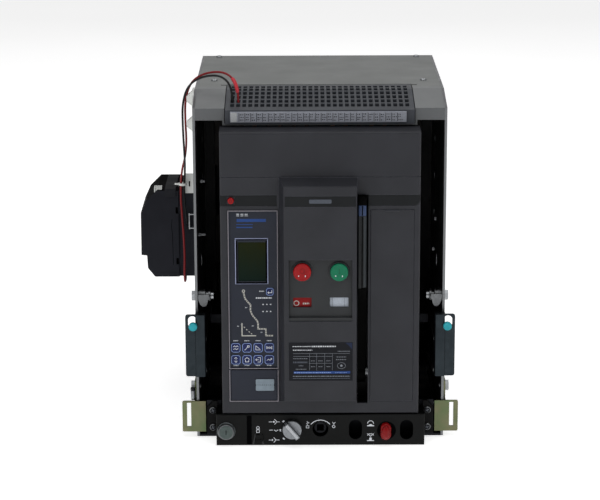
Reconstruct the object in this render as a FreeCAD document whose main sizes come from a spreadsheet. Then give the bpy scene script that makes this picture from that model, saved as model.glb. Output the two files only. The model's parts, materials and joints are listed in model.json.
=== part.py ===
"""Draw-out air circuit breaker in its cradle, with a relay module on the left side plate.

Frame: millimetres, +X to the right of the front, +Y to the rear, +Z up.  The origin is the centre of
the four mounting holes, on the underside of the cradle floor.  The breaker stands in its connected
position, with its contacts open and its closing spring discharged.
"""
import FreeCAD
import Part
import Sketcher
import math
import os

from FreeCAD import Placement, Rotation, Vector

os.makedirs("parts", exist_ok=True)
doc = FreeCAD.newDocument("draw_out_breaker")
sheet = doc.addObject("Spreadsheet::Sheet", "dims")
nodes = {}


# ---------------------------------------------------------------- sizes bound to the sheet
class Size:
    """A length that knows its value and the sheet expression that gives it."""

    def __init__(self, value, text):
        self.value = value
        self.text = text

    def __add__(self, other):
        return combine(self, "+", other, self.value + to_size(other).value)

    def __radd__(self, other):
        return to_size(other) + self

    def __sub__(self, other):
        return combine(self, "-", other, self.value - to_size(other).value)

    def __rsub__(self, other):
        return to_size(other) - self

    def __mul__(self, other):
        return combine(self, "*", other, self.value * to_size(other).value)

    def __rmul__(self, other):
        return to_size(other) * self

    def __truediv__(self, other):
        return combine(self, "/", other, self.value / to_size(other).value)

    def __neg__(self):
        return Size(-self.value, f"(0 - {self.text})")


def to_size(number):
    """A plain number as a Size."""
    if isinstance(number, Size):
        return number
    return Size(number, f"({number})" if number < 0 else f"{number}")


def combine(left, sign, right, value):
    """The Size that an arithmetic sign makes of two."""
    return Size(value, f"({left.text} {sign} {to_size(right).text})")


def cell(name, value):
    """A driving dimension: a cell of the sheet with its name as alias."""
    cell.row += 1
    sheet.set(f"A{cell.row}", name)
    sheet.set(f"B{cell.row}", str(value))
    sheet.setAlias(f"B{cell.row}", name)
    return Size(value, f"dims.{name}")


cell.row = 0

# Cradle
cradle_width = cell("cradle_width", 252.5)
sheet_steel = cell("sheet_steel", 2.5)
cradle_front = cell("cradle_front", -131)
cradle_rear = cell("cradle_rear", 136)
cradle_top = cell("cradle_top", 351.5)
nose_height = cell("nose_height", 342)
nose_back = cell("nose_back", -75)
top_sheet = cell("top_sheet", 2)
hood_back = cell("hood_back", -62.5)
hood_flange = cell("hood_flange", 12)
block_bay_half = cell("block_bay_half", 94.5)
bay_back = cell("bay_back", -50)
shelf_height = cell("shelf_height", 325)
sill_height = cell("sill_height", 38.8)
mount_spacing_across = cell("mount_spacing_across", 200)
mount_spacing_deep = cell("mount_spacing_deep", 180)
mount_hole = cell("mount_hole", 4.5)
# Racking mechanism
face = cell("face", -160)
panel_half = cell("panel_half", 105.5)
panel_height = cell("panel_height", 33)
panel_wall = cell("panel_wall", 2.5)
screw_height = cell("screw_height", 17.3)
screw_radius = cell("screw_radius", 6)
crank_hole = cell("crank_hole", 8)
running_gap = cell("running_gap", 0.05)
part_gap = cell("part_gap", 0.3)
# Rails and rollers
rail_outer = cell("rail_outer", 123.4)
rail_inner = cell("rail_inner", 116.2)
rail_bottom = cell("rail_bottom", 70)
rail_top = cell("rail_top", 100)
rail_rear = cell("rail_rear", 40)
roller_y = cell("roller_y", -118)
roller_z = cell("roller_z", 146.4)
roller_radius = cell("roller_radius", 7)
pin_radius = cell("pin_radius", 3)
# Main circuit
pole_pitch = cell("pole_pitch", 70)
upper_level = cell("upper_level", 205)
lower_level = cell("lower_level", 95)
bar_width = cell("bar_width", 44)
bar_thickness = cell("bar_thickness", 10)
stab_tip = cell("stab_tip", 80)
terminal_end = cell("terminal_end", 186)
terminal_hole = cell("terminal_hole", 5.5)
insulator_front = cell("insulator_front", 118)
shutter_front = cell("shutter_front", 75)
shutter_thickness = cell("shutter_thickness", 2.5)
# Breaker
breaker_half = cell("breaker_half", 99)
cover_bottom = cell("cover_bottom", 34)
cover_top = cell("cover_top", 278.6)
chute_top = cell("chute_top", 323.9)
moulded_wall = cell("moulded_wall", 3)
case_front = cell("case_front", -125)
case_rear = cell("case_rear", 48)
case_bottom = cell("case_bottom", 44)
case_top = cell("case_top", 264)
column_front = cell("column_front", -177.5)
column_half = cell("column_half", 36)
panel_face = cell("panel_face", -173.5)
slot_left = cell("slot_left", 36.9)
slot_right = cell("slot_right", 47.6)
shaft_y = cell("shaft_y", -60)
shaft_z = cell("shaft_z", 140)
shaft_radius = cell("shaft_radius", 7)
cam_y = cell("cam_y", -140)
cam_z = cell("cam_z", 72)
cam_radius = cell("cam_radius", 5)

cradle_outer = cradle_width / 2
cradle_inner = cradle_outer - sheet_steel
POLES = (-1, 0, 1)
SIDES = (-1, 1)
LEVELS = (upper_level, lower_level)


# ---------------------------------------------------------------- tools for making shapes
def bind(thing, prop, size):
    """Set a property to a plain number, or bind it to the sheet."""
    size = to_size(size)
    if "dims." in size.text:
        thing.setExpression(prop, size.text)
    else:
        setattr(thing, prop, size.value)


def place(thing, corner, rotation=Rotation()):
    """Put a thing's own origin at a corner whose coordinates may be bound."""
    sizes = [to_size(part) for part in corner]
    thing.Placement = Placement(Vector(*[size.value for size in sizes]), rotation)
    for letter, size in zip("xyz", sizes):
        if "dims." in size.text:
            thing.setExpression(f"Placement.Base.{letter}", size.text)
    return thing


def block(x, y, z):
    """A box between two planes on each axis."""
    box = doc.addObject("Part::Box", "block")
    for prop, (low, high) in zip(("Length", "Width", "Height"), (x, y, z)):
        bind(box, prop, to_size(high) - low)
    return place(box, (x[0], y[0], z[0]))


def along(axis):
    """The turn that lays a Z-wise primitive along an axis."""
    direction = {"X": Vector(1, 0, 0), "Y": Vector(0, 1, 0), "Z": Vector(0, 0, 1)}[axis]
    return Rotation(Vector(0, 0, 1), direction)


def start_point(axis, centre, start):
    """The start of a piece whose centre line runs along an axis."""
    if axis == "X":
        return (start, centre[0], centre[1])
    if axis == "Y":
        return (centre[0], start, centre[1])
    return (centre[0], centre[1], start)


def rod(axis, centre, radius, start, end):
    """A cylinder along an axis."""
    cylinder = doc.addObject("Part::Cylinder", "rod")
    bind(cylinder, "Radius", radius)
    bind(cylinder, "Height", to_size(end) - start)
    return place(cylinder, start_point(axis, centre, start), along(axis))


def hexagon(axis, centre, across_flats, start, end):
    """A hexagonal prism along an axis."""
    prism = doc.addObject("Part::Prism", "hexagon")
    prism.Polygon = 6
    bind(prism, "Circumradius", to_size(across_flats) / math.sqrt(3))
    bind(prism, "Height", to_size(end) - start)
    return place(prism, start_point(axis, centre, start), along(axis))


def wedge(front, rear, front_x, front_z, rear_x, rear_z):
    """A block along Y whose rear face is larger or smaller than its front face."""
    solid = doc.addObject("Part::Wedge", "wedge")
    limits = {"Ymin": front, "Ymax": rear, "Xmin": front_x[0], "Xmax": front_x[1]}
    limits.update({"Zmin": front_z[0], "Zmax": front_z[1], "X2min": rear_x[0], "X2max": rear_x[1]})
    limits.update({"Z2min": rear_z[0], "Z2max": rear_z[1]})
    for prop, size in limits.items():
        bind(solid, prop, size)
    return solid


def pin_point(sketch, item, end, point):
    """Hold one end of a sketched line, or a circle's centre, at bound coordinates."""
    for kind, axis_line, size in zip(("DistanceX", "DistanceY"), (-2, -1), point):
        size = to_size(size)
        if size.value == 0:
            sketch.addConstraint(Sketcher.Constraint("PointOnObject", item, end, axis_line))
            continue
        index = sketch.addConstraint(Sketcher.Constraint(kind, -1, 1, item, end, size.value))
        if "dims." in size.text:
            sketch.setExpression(f"Constraints[{index}]", size.text)


def padded(plane, outline, start, end, holes=()):
    """A PartDesign body: an outline on an origin plane, with round holes, padded between two planes.

    Outlines on YZ are (y, z), on XZ (x, z) and on XY (x, y).
    """
    body = doc.addObject("PartDesign::Body", "body")
    sketch = body.newObject("Sketcher::SketchObject", "outline")
    origin_plane = next(item for item in body.Origin.OriginFeatures if item.Role == f"{plane}_Plane")
    sketch.AttachmentSupport = [(origin_plane, "")]
    sketch.MapMode = "FlatFace"
    corners = [Vector(to_size(u).value, to_size(v).value, 0) for u, v in outline]
    count = len(corners)
    for index, corner in enumerate(corners):
        sketch.addGeometry(Part.LineSegment(corner, corners[(index + 1) % count]), False)
    for index in range(count):
        sketch.addConstraint(Sketcher.Constraint("Coincident", index, 2, (index + 1) % count, 1))
        pin_point(sketch, index, 1, outline[index])
    for number, (u, v, radius) in enumerate(holes, count):
        centre = Vector(to_size(u).value, to_size(v).value, 0)
        sketch.addGeometry(Part.Circle(centre, Vector(0, 0, 1), to_size(radius).value), False)
        pin_point(sketch, number, 3, (u, v))
        index = sketch.addConstraint(Sketcher.Constraint("Radius", number, to_size(radius).value))
        if "dims." in to_size(radius).text:
            sketch.setExpression(f"Constraints[{index}]", to_size(radius).text)
    pad = body.newObject("PartDesign::Pad", "pad")
    pad.Profile = sketch
    bind(pad, "Length", to_size(end) - start)
    body.Tip = pad
    # A pad on the XZ plane grows towards -Y, the others towards + of their normal.
    return place(body, {"YZ": (start, 0, 0), "XZ": (0, end, 0), "XY": (0, 0, start)}[plane])


def join(*pieces):
    """One solid fused from several."""
    fused = doc.addObject("Part::MultiFuse", "join")
    fused.Shapes = list(pieces)
    fused.Refine = True
    return fused


def group(*pieces):
    """Several separate solids kept together."""
    together = doc.addObject("Part::Compound", "group")
    together.Links = list(pieces)
    return together


def carve(base, *tools):
    """A base with tools that don't meet each other cut out of it."""
    cut = doc.addObject("Part::Cut", "carve")
    cut.Base = base
    cut.Tool = tools[0] if len(tools) == 1 else group(*tools)
    return cut


def mirrored(piece):
    """A copy on the other side of the middle plane."""
    mirror = doc.addObject("Part::Mirroring", "mirrored")
    mirror.Source = piece
    mirror.Normal = Vector(1, 0, 0)
    return mirror


def turned(piece, axis, angle, centre):
    """A copy turned about a line along an axis through a centre, by an angle in degrees."""
    direction = {"X": Vector(1, 0, 0), "Y": Vector(0, 1, 0), "Z": Vector(0, 0, 1)}[axis]
    middle = Vector(*[to_size(part).value for part in centre])
    turn = Placement(Vector(), Rotation(direction, angle), middle)
    holder = group(piece)
    holder.Placement = turn
    return holder


def rounded(piece, radius, *planes):
    """A fillet on the edges that lie in all the given planes, each one ("X", place) or two of them."""
    doc.recompute()
    index = {"X": 0, "Y": 1, "Z": 2}
    chosen = []
    for number, edge in enumerate(piece.Shape.Edges, 1):
        box = edge.BoundBox
        lows = (box.XMin, box.YMin, box.ZMin)
        highs = (box.XMax, box.YMax, box.ZMax)
        for pair in planes:
            flat = all(
                abs(lows[index[axis]] - to_size(at).value) < 0.01
                and abs(highs[index[axis]] - to_size(at).value) < 0.01
                for axis, at in pair
            )
            if flat:
                chosen.append((number, radius, radius))
                break
    fillet = doc.addObject("Part::Fillet", "rounded")
    fillet.Base = piece
    fillet.Edges = chosen
    return fillet


def keep(name, piece):
    """Name a finished sub-part: the label is its file's name."""
    piece.Label = name
    nodes[name] = piece


def slot_hole(centre, width, height, y):
    """An upright round-ended hole through a front wall."""
    x, z = centre
    straight = (to_size(height) - width) / 2
    return join(
        block((x - width / 2, x + width / 2), y, (z - straight, z + straight)),
        rod("Y", (x, z - straight), width / 2, *y),
        rod("Y", (x, z + straight), width / 2, *y),
    )


# ---------------------------------------------------------------- cradle sheet metal
SIDE_BOLTS = ((-60, 11), (60, 11), (125, 60), (125, 180), (125, 300))
BRACKET_BOLT = (-110, 22)
POST_BOLT = (-110, 47.4)
TOP_SCREWS = tuple((side * 108, y) for side in SIDES for y in (-28, 118))
EAR_SCREWS = tuple((side * 109.7, z) for side in SIDES for z in (10.9, 29.1))
KNOB_CENTRE = (-28.7, 18)
RELEASE_CENTRE = (66.2, 15.4)
LOCK_CENTRE = (-95.5, 15.5)
BOLT_CLEARANCE = 0.1


def make_side_plates():
    """Profiled steel sides, each with a welded channel that the extension rail slides in."""
    outline = (
        (cradle_front, 0),
        (cradle_rear, 0),
        (cradle_rear, cradle_top),
        (nose_back, cradle_top),
        (cradle_front, nose_height),
    )
    bolts = (*SIDE_BOLTS, BRACKET_BOLT, POST_BOLT, (roller_y, roller_z))
    holes = [(y, z, pin_radius + BOLT_CLEARANCE) for y, z in bolts]
    holes += [(y, z, 7) for y in (-30, 95) for z in (160, 320)]
    holes += [(20, z, 4) for z in (200, 240, 280)]
    plate = padded("YZ", outline, cradle_inner, cradle_outer, holes)
    plate = rounded(plate, 10, (("Y", cradle_rear), ("Z", cradle_top)))
    lip_depth = cradle_inner - 8
    lips = [
        block((lip_depth, cradle_inner), (-124, 60), (low, low + 3))
        for low in (rail_bottom - part_gap - 3, rail_top + part_gap)
    ]
    right = join(plate, *lips)
    keep("side_plate_right", right)
    keep("side_plate_left", mirrored(right))


def make_top_plate():
    """Rear top cover, bent down at the back and notched behind the terminal block."""
    across = (-cradle_inner, cradle_inner)
    deck = block(across, (hood_back, cradle_rear), (cradle_top - top_sheet, cradle_top))
    flange = block(across, (cradle_rear - top_sheet, cradle_rear), (322, cradle_top))
    shell = join(deck, flange)
    inner_bend = (("Y", cradle_rear - top_sheet), ("Z", cradle_top - top_sheet))
    shell = rounded(shell, 8, inner_bend)
    shell = rounded(shell, 10, (("Y", cradle_rear), ("Z", cradle_top)))
    through = (cradle_top - 3, cradle_top + 1)
    notch = block((-block_bay_half, block_bay_half), (hood_back - 1, bay_back), through)
    reliefs = [
        block((side * 97 - 3, side * 97 + 3), (-57, bay_back - 2), through) for side in SIDES
    ]
    holes = [rod("Z", centre, 2, *through) for centre in TOP_SCREWS]
    keep("top_plate", carve(carve(shell, notch, *holes), *reliefs))


def make_crossbar():
    """Front hood: two sloped wings with a front flange, and the shelf that holds the terminal block."""
    slope = top_sheet * 0.85
    wing_outline = (
        (cradle_front, nose_height - hood_flange),
        (cradle_front, nose_height),
        (nose_back, cradle_top),
        (hood_back, cradle_top),
        (hood_back, cradle_top - top_sheet),
        (nose_back, cradle_top - top_sheet),
        (cradle_front + top_sheet, nose_height - slope),
        (cradle_front + top_sheet, nose_height - hood_flange),
    )
    wall_outline = (
        (cradle_front, shelf_height),
        (cradle_front, nose_height),
        (nose_back, cradle_top),
        (hood_back, cradle_top),
        (hood_back, shelf_height),
    )
    wing = padded("YZ", wing_outline, block_bay_half, cradle_inner)
    wall = padded("YZ", wall_outline, block_bay_half, block_bay_half + top_sheet)
    bay = (-block_bay_half, block_bay_half)
    shelf = block(bay, (cradle_front, hood_back), (shelf_height, shelf_height + 1.5))
    keep("front_crossbar", join(wing, wall, mirrored(wing), mirrored(wall), shelf))


def make_floor():
    """Cradle floor with its side bends, the front sill and the rear bearing tab of the lead screw."""
    half = cradle_inner
    base = block((-half, half), (cradle_front, cradle_rear), (0, sheet_steel))
    front = (cradle_front, cradle_front + sheet_steel)
    sill = block((-116, 116), front, (0, panel_height))
    uprights = [block((side * 108.5 - 7.5, side * 108.5 + 7.5), front, (0, sill_height)) for side in SIDES]
    rear = block((-half, half), (cradle_rear - sheet_steel, cradle_rear), (0, 30))
    edges = ((-half, sheet_steel - half), (half - sheet_steel, half))
    bends = [block(edge, (-90, 90), (0, 20)) for edge in edges]
    tab = block((-14, 14), (42, 45), (0, 30))
    shell = join(base, sill, *uprights, rear, *bends, tab)
    bearing = screw_radius + running_gap
    corners = [(sx / 2 * mount_spacing_across, sy / 2 * mount_spacing_deep) for sx in SIDES for sy in SIDES]
    holes = [rod("Z", (x, y), mount_hole, -1, 4) for x, y in corners]
    holes += [rod("Y", (0, screw_height), bearing, cradle_front - 1, 50)]
    holes += [rod("Y", KNOB_CENTRE, pin_radius + running_gap, cradle_front - 1, cradle_front + 4)]
    holes += [rod("Y", RELEASE_CENTRE, 3 + part_gap, cradle_front - 1, cradle_front + 4)]
    holes += [rod("Y", centre, 1.9, cradle_front - 1, cradle_front + 4) for centre in EAR_SCREWS]
    holes += [
        rod("X", centre, pin_radius + BOLT_CLEARANCE, side * half - 5, side * half + 5)
        for side in SIDES
        for centre in SIDE_BOLTS[:2]
    ]
    keep("floor_plate", carve(shell, *holes))


def make_brackets():
    """Slotted fixing angles on the front edges of the side plates."""
    front = (cradle_front - 2.5, cradle_front)
    flange = block((117, 141), front, (5.8, 38.5))
    arm = block((cradle_outer, cradle_outer + 2.3), (cradle_front - 2.5, -92), (5.8, 38.5))
    post = block((cradle_outer, cradle_outer + 2.3), (cradle_front + 8, -98), (38, 56))
    slot = block((132.1, 136.3), (cradle_front - 4, cradle_front + 1), (11, 36.8))
    hole = rod("X", BRACKET_BOLT, pin_radius + BOLT_CLEARANCE, cradle_outer - 1, cradle_outer + 4)
    post_hole = rod("X", POST_BOLT, pin_radius + BOLT_CLEARANCE, cradle_outer - 1, cradle_outer + 4)
    angle = rounded(join(flange, arm, post), 1.5, (("X", 141), ("Z", 5.8)), (("X", 141), ("Z", 38.5)))
    right = carve(angle, slot, hole, post_hole)
    keep("bracket_right", right)
    keep("bracket_left", mirrored(right))


def hex_bolt(centre, face_x, shank_end, across_flats=10, head=4):
    """A bolt along X, its head outside a right-hand face and its shank running inwards."""
    body = rod("X", centre, pin_radius, shank_end, face_x)
    return join(body, hexagon("X", centre, across_flats, face_x, face_x + head))


def make_bolts():
    """The cradle's hexagon bolts, and the two roller pins with their inner caps."""
    right = [hex_bolt(centre, cradle_outer, cradle_inner - sheet_steel - 1) for centre in SIDE_BOLTS[:2]]
    right += [hex_bolt(centre, cradle_outer, cradle_inner - 8) for centre in SIDE_BOLTS[2:]]
    right += [hex_bolt(centre, cradle_outer + 2.3, cradle_inner - 1) for centre in (BRACKET_BOLT, POST_BOLT)]
    roller_centre = (roller_y, roller_z)
    pin = hex_bolt(roller_centre, cradle_outer, 108, 9, 4)
    cap = rod("X", roller_centre, 4.2, 108, 110.8)
    right.append(join(pin, cap))
    return [*right, *[mirrored(bolt) for bolt in right]]


def make_fasteners():
    """The hexagon bolts, and cross-recess screws in the racking panel's ears and the top plate."""
    screws = make_bolts()
    ear_face = cradle_front - 3
    for x, z in EAR_SCREWS:
        head = rounded(rod("Y", (x, z), 3.5, ear_face - 2.2, ear_face), 1.2, (("Y", ear_face - 2.2),))
        shank = rod("Y", (x, z), 1.8, ear_face, cradle_front + 5)
        cross = join(
            block((x - 2.2, x + 2.2), (ear_face - 3, ear_face - 1), (z - 0.5, z + 0.5)),
            block((x - 0.5, x + 0.5), (ear_face - 3, ear_face - 1), (z - 2.2, z + 2.2)),
        )
        screws.append(carve(join(head, shank), cross))
    for x, y in TOP_SCREWS:
        head = rounded(rod("Z", (x, y), 3.2, cradle_top, cradle_top + 1.6), 1.0, (("Z", cradle_top + 1.6),))
        shank = rod("Z", (x, y), 1.9, cradle_top - 8, cradle_top)
        cross = join(
            block((x - 2, x + 2), (y - 0.5, y + 0.5), (cradle_top + 0.7, cradle_top + 3)),
            block((x - 0.5, x + 0.5), (y - 2, y + 2), (cradle_top + 0.7, cradle_top + 3)),
        )
        screws.append(carve(join(head, shank), cross))
    keep("cradle_fasteners", group(*screws))


# ---------------------------------------------------------------- cradle rear: insulator, terminals, shutters
def make_insulator():
    """Moulded back wall with a slot for each bar, shallow ribs behind, and grooves for the shutters."""
    back = 133.5
    wall = block((-cradle_inner, cradle_inner), (insulator_front, back), (31, 321))
    pillar_depth = (70, insulator_front)
    pillars = [block((side * 118 - 5.7, side * 118 + 5.7), pillar_depth, (60, 300)) for side in SIDES]
    solid = join(wall, *pillars)
    cuts = []
    for pole in POLES:
        x = pole * pole_pitch
        for level in LEVELS:
            slot_x = (x - bar_width / 2 - BOLT_CLEARANCE, x + bar_width / 2 + BOLT_CLEARANCE)
            slot_z = (level - bar_thickness / 2 - BOLT_CLEARANCE, level + bar_thickness / 2 + BOLT_CLEARANCE)
            cuts.append(block(slot_x, (insulator_front - 1, back + 1), slot_z))
            relief_z = ((level - 36, level - 12), (level + 12, level + 36))
            cuts += [block((x - 30, x + 30), (back - 1.5, back + 1), height) for height in relief_z]
    for side in SIDES:
        cuts.append(block((side * 114 - 3, side * 114 + 3), (74.7, 77.8), (59, 301)))
        for y, z in SIDE_BOLTS[2:]:
            low = cradle_inner - 9 if side > 0 else -cradle_inner - 1
            cuts.append(rod("X", (y, z), pin_radius + BOLT_CLEARANCE, low, low + 10))
    keep("rear_insulator", carve(solid, *cuts))


def make_terminals():
    """Connection bars in two rows: each is the stab inside and the drilled terminal outside."""
    bars = []
    for level in LEVELS:
        thick = (level - bar_thickness / 2, level + bar_thickness / 2)
        for pole in POLES:
            x = pole * pole_pitch
            bar = block((x - bar_width / 2, x + bar_width / 2), (stab_tip, terminal_end), thick)
            bar = rounded(bar, 3, (("Y", stab_tip), ("Z", thick[0])), (("Y", stab_tip), ("Z", thick[1])))
            through = (thick[0] - 1, thick[1] + 1)
            holes = [rod("Z", (x + side * 11, 168), terminal_hole, *through) for side in SIDES]
            bars.append(carve(bar, *holes))
    keep("main_terminals", group(*bars))


def make_shutters():
    """Insulating shutters, held open above each row of stabs while the breaker is connected."""
    for name, level in zip(("upper_shutter", "lower_shutter"), LEVELS):
        low = level + 34.5
        plane = (shutter_front, shutter_front + shutter_thickness)
        plate = block((-115.6, 115.6), plane, (low, low + 54))
        rib = block((-105, 105), (shutter_front - 3, shutter_front), (low + 40, low + 44))
        keep(name, join(plate, rib))


# ---------------------------------------------------------------- terminal block and relay module
def make_terminal_block():
    """Secondary terminal block: a sloped moulding with six rows of square wire entries."""
    front = cradle_front - 3
    outline = (
        (front, 326.6),
        (front, nose_height - 1.2),
        (cradle_front, nose_height - 0.7),
        (nose_back, cradle_top - 0.7),
        (bay_back - 2, cradle_top - 0.2),
        (bay_back - 2, 326.6),
    )
    half = block_bay_half - 0.7
    body = padded("YZ", outline, -half, half)
    pitch = 6.0
    row_pitch = 11.4
    entries = []
    for row in range(6):
        y = -124.5 + row * row_pitch
        depth_from = 338 + row * 1.4
        for column in range(30):
            x = (column - 14.5) * pitch
            entries.append(block((x - 1.95, x + 1.95), (y, y + 8.6), (depth_from, 353)))
    keep("terminal_block", carve(body, *entries))
    strip_z = (328.6, 339.5)
    strip = block((-88.7, 85.6), (front - 2, front), strip_z)
    strip_edges = [(("Y", front - 2), ("Z", z)) for z in strip_z]
    keep("terminal_label_strip", rounded(strip, 0.8, *strip_edges))


def make_secondary_fingers():
    """Spring fingers under the shelf that touch the breaker's secondary pads."""
    fingers = []
    for place_number in range(13):
        x = (place_number - 6) * 13
        foot = block((x - 2, x + 2), (-108, -82), (shelf_height - 1.5, shelf_height))
        leaf = block((x - 2, x + 2), (-108, -106.8), (316.5, shelf_height - 1.5))
        fingers.append(join(foot, leaf))
    keep("secondary_fingers", group(*fingers))


RELAY_FRONT = -10
RELAY_REAR = 66


def make_relay():
    """Relay module on the left side plate: a socket base, a stepped cover and a strap over its top."""
    outline = (
        (-148.4, 136.6),
        (-148.4, 231.6),
        (-170.7, 231.6),
        (-182.5, 219.8),
        (-188.4, 206.8),
        (-188.6, 160.8),
        (-182.7, 160.2),
        (-182.0, 146.5),
        (-174.2, 136.6),
    )
    cover = padded("XZ", outline, RELAY_FRONT, RELAY_REAR)
    cover = rounded(cover, 1.2, (("Y", RELAY_FRONT), ("Z", 231.6)), (("Y", RELAY_FRONT), ("Z", 136.6)))
    hollow = block((-179, -147), (RELAY_FRONT + 2.5, RELAY_REAR - 2.5), (150, 217))
    latches = [block((-151.5, -147), (RELAY_FRONT - 1, RELAY_FRONT + 1.5), (z, z + 7)) for z in (150.5, 206)]
    keep("relay_cover", carve(cover, hollow, *latches))
    base_x = (-148.3, -cradle_outer)
    base = block(base_x, (RELAY_FRONT + 2, RELAY_REAR - 2), (137.2, 231))
    pin_row = [block((-148.9, -140), (y, y + 6), (z, z + 2)) for y in (5, 25, 45) for z in (160, 180, 200)]
    keep("relay_base", carve(base, *pin_row))
    strap = block((-162.5, -151), (RELAY_FRONT - 1.2, 56), (231.6, 233.2))
    tongue = block((-162.5, -151), (RELAY_FRONT - 1.2, RELAY_FRONT), (224.5, 233.2))
    foot = block((-141, -cradle_outer), (RELAY_FRONT - 3, RELAY_FRONT - 1.6), (189.5, 192))
    head = block((-137.6, -cradle_outer), (RELAY_FRONT - 3, RELAY_FRONT - 1.6), (204.5, 207))
    spine = block((-137.6, -136.4), (RELAY_FRONT - 3, RELAY_FRONT - 1.6), (189.5, 207))
    clip = join(head, spine, foot)
    keep("relay_strap", group(join(strap, tongue), clip))


# ---------------------------------------------------------------- control wires
WIRE_RADIUS = 1.1
TIE_MOUNTS = ((-80, 343), (-80, 317))
BLACK_ROUTE = (
    (-87, -109, 342),
    (-86.6, -109, 358),
    (-97, -103, 370.5),
    (-117, -93, 368),
    (-132.5, -83, 357),
    (-138.6, -80, 338),
    (-138.6, -80, 316),
    (-138.4, -71, 294),
    (-139.0, -43, 270),
    (-140.6, -17.4, 250),
    (-142.0, -15.8, 230),
    (-141.0, -15.9, 213),
    (-139.6, -16.0, 201),
    (-139.3, -12.2, 195.6),
    (-139.3, -8.0, 195.6),
)
RED_ROUTE = (
    (-81, -109, 342),
    (-81, -107.5, 360),
    (-92, -100, 373.2),
    (-113, -90, 371.4),
    (-129.5, -79, 360.5),
    (-136.0, -76.6, 341),
    (-136.0, -76.6, 318),
    (-135.6, -67, 297),
    (-138.4, -41.5, 275),
    (-144.0, -21, 254),
    (-145.4, -19.6, 229),
    (-144.2, -18.4, 206),
    (-142.9, -17.4, 184),
    (-142.2, -17.2, 162),
    (-143, -16.0, 142),
    (-143, -8.5, 131),
    (-143, 3.5, 128.4),
    (-143, 10.8, 128.9),
    (-143, 15, 132.2),
    (-143, 15, 137.2),
)


def arc_radius(before, corner, after):
    """The largest tidy bend between two runs: 0.45 of the shorter over the tangent of half the turn."""
    run_in = corner - before
    run_out = after - corner
    shorter = min(run_in.Length, run_out.Length)
    return 0.45 * shorter / math.tan(run_in.getAngle(run_out) / 2)


def tube(route, radius):
    """A round wire along straight runs joined by tangent arcs."""
    points = [Vector(*point) for point in route]
    edges = []
    start = points[0]
    tightest = math.inf
    for before, corner, after in zip(points, points[1:], points[2:]):
        bend = arc_radius(before, corner, after)
        tightest = min(tightest, bend)
        run_in = (corner - before).normalize()
        run_out = (after - corner).normalize()
        half_turn = run_in.getAngle(run_out) / 2
        setback = bend * math.tan(half_turn)
        arc_start = corner - run_in * setback
        arc_end = corner + run_out * setback
        inward = (run_out - run_in).normalize()
        middle = corner + inward * (bend / math.cos(half_turn) - bend)
        edges.append(Part.LineSegment(start, arc_start).toShape())
        edges.append(Part.Arc(arc_start, middle, arc_end).toShape())
        start = arc_end
    edges.append(Part.LineSegment(start, points[-1]).toShape())
    path = Part.Wire(edges)
    section = Part.Wire(Part.Circle(points[0], points[1] - points[0], radius).toShape())
    solid = path.makePipeShell([section], True, False)
    expected = math.pi * radius**2 * path.Length
    share = solid.Volume / expected
    print(f"wire length {path.Length:.1f}, tightest bend {tightest:.1f}, volume ratio {share:.4f}")
    return solid


def shape_object(shape):
    """A document object for a shape that no primitive gives."""
    thing = doc.addObject("Part::Feature", "shape")
    thing.Shape = shape
    return thing


def make_wires():
    """Two control leads from the terminal block to the relay, their mounts, ties and support tab."""
    keep("wire_black", shape_object(tube(BLACK_ROUTE, WIRE_RADIUS)))
    keep("wire_red", shape_object(tube(RED_ROUTE, WIRE_RADIUS)))
    pieces = []
    for y, z in TIE_MOUNTS:
        foot = block((-cradle_outer - 2, -cradle_outer), (y - 12, y + 12), (z - 9, z + 9))
        pieces.append(join(foot, tie_saddle(y, z)))
    tab = block((-141.2, -cradle_outer), (-13.6, -12.2), (229, 250))
    slot = block((-137, -135.4), (-14, -12), (236, 242))
    pieces.append(carve(tab, slot))
    keep("wire_mounts", group(*pieces))


def tie_saddle(y, z):
    """The tapering saddle of a tie mount, standing off the left side plate."""
    outline = (
        (-cradle_outer - 1.5, z - 8),
        (-cradle_outer - 1.5, z + 8),
        (-cradle_outer - 7.8, z + 2.5),
        (-cradle_outer - 7.8, z - 2.5),
    )
    return padded("XZ", outline, y - 5, y + 5)


# ---------------------------------------------------------------- racking mechanism
OVAL_CENTRES = ((35.5, 16.7), (87.2, 16.4))
RELEASE_SIZE = (10.7, 17.2)
TAB_X = (-65.6, -58.4)
TAB_Z = (4.4, 11.6)


def make_racking_panel():
    """Black moulded panel under the breaker: hollow behind, with ears screwed to the cradle sill."""
    half = panel_half
    outer = block((-half, half), (face, cradle_front), (0, panel_height))
    front_edges = [(("Y", face), ("Z", 0)), (("Y", face), ("Z", panel_height))]
    front_edges += [(("Y", face), ("X", side * half)) for side in SIDES]
    outer = rounded(outer, 1.2, *front_edges)
    inner_half = half - panel_wall
    hollow = block((-inner_half, inner_half), (face + panel_wall, cradle_front + 1), (2.5, 30.5))
    shell = carve(outer, hollow)
    ear_outline = ((105, 3.9), (115.6, 3.9), (115.6, 31.4), (109.7, sill_height), (105, sill_height))
    ear = padded("XZ", ear_outline, cradle_front - 3, cradle_front)
    shell = join(shell, ear, mirrored(ear))
    wall = (face - 1, face + 4)
    holes = [rod("Y", (0, screw_height), crank_hole, *wall)]
    holes += [rod("Y", KNOB_CENTRE, pin_radius + part_gap, *wall)]
    holes += [rod("Y", LOCK_CENTRE, 8.4, *wall)]
    holes += [slot_hole(centre, 13.2, 20.9, wall) for centre in OVAL_CENTRES]
    holes += [slot_hole(RELEASE_CENTRE, RELEASE_SIZE[0] + 0.7, RELEASE_SIZE[1] + 0.7, wall)]
    holes += [block((TAB_X[0] - 0.3, TAB_X[1] + 0.3), wall, (TAB_Z[0] - 0.3, TAB_Z[1] + 0.3))]
    holes += [block((-74.3, -73.1), (face - 1, face + 0.8), (1.5, 31.5))]
    holes += [rod("Y", centre, 1.9, cradle_front - 4, cradle_front + 1) for centre in EAR_SCREWS]
    keep("racking_panel", carve(shell, *holes))


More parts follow.
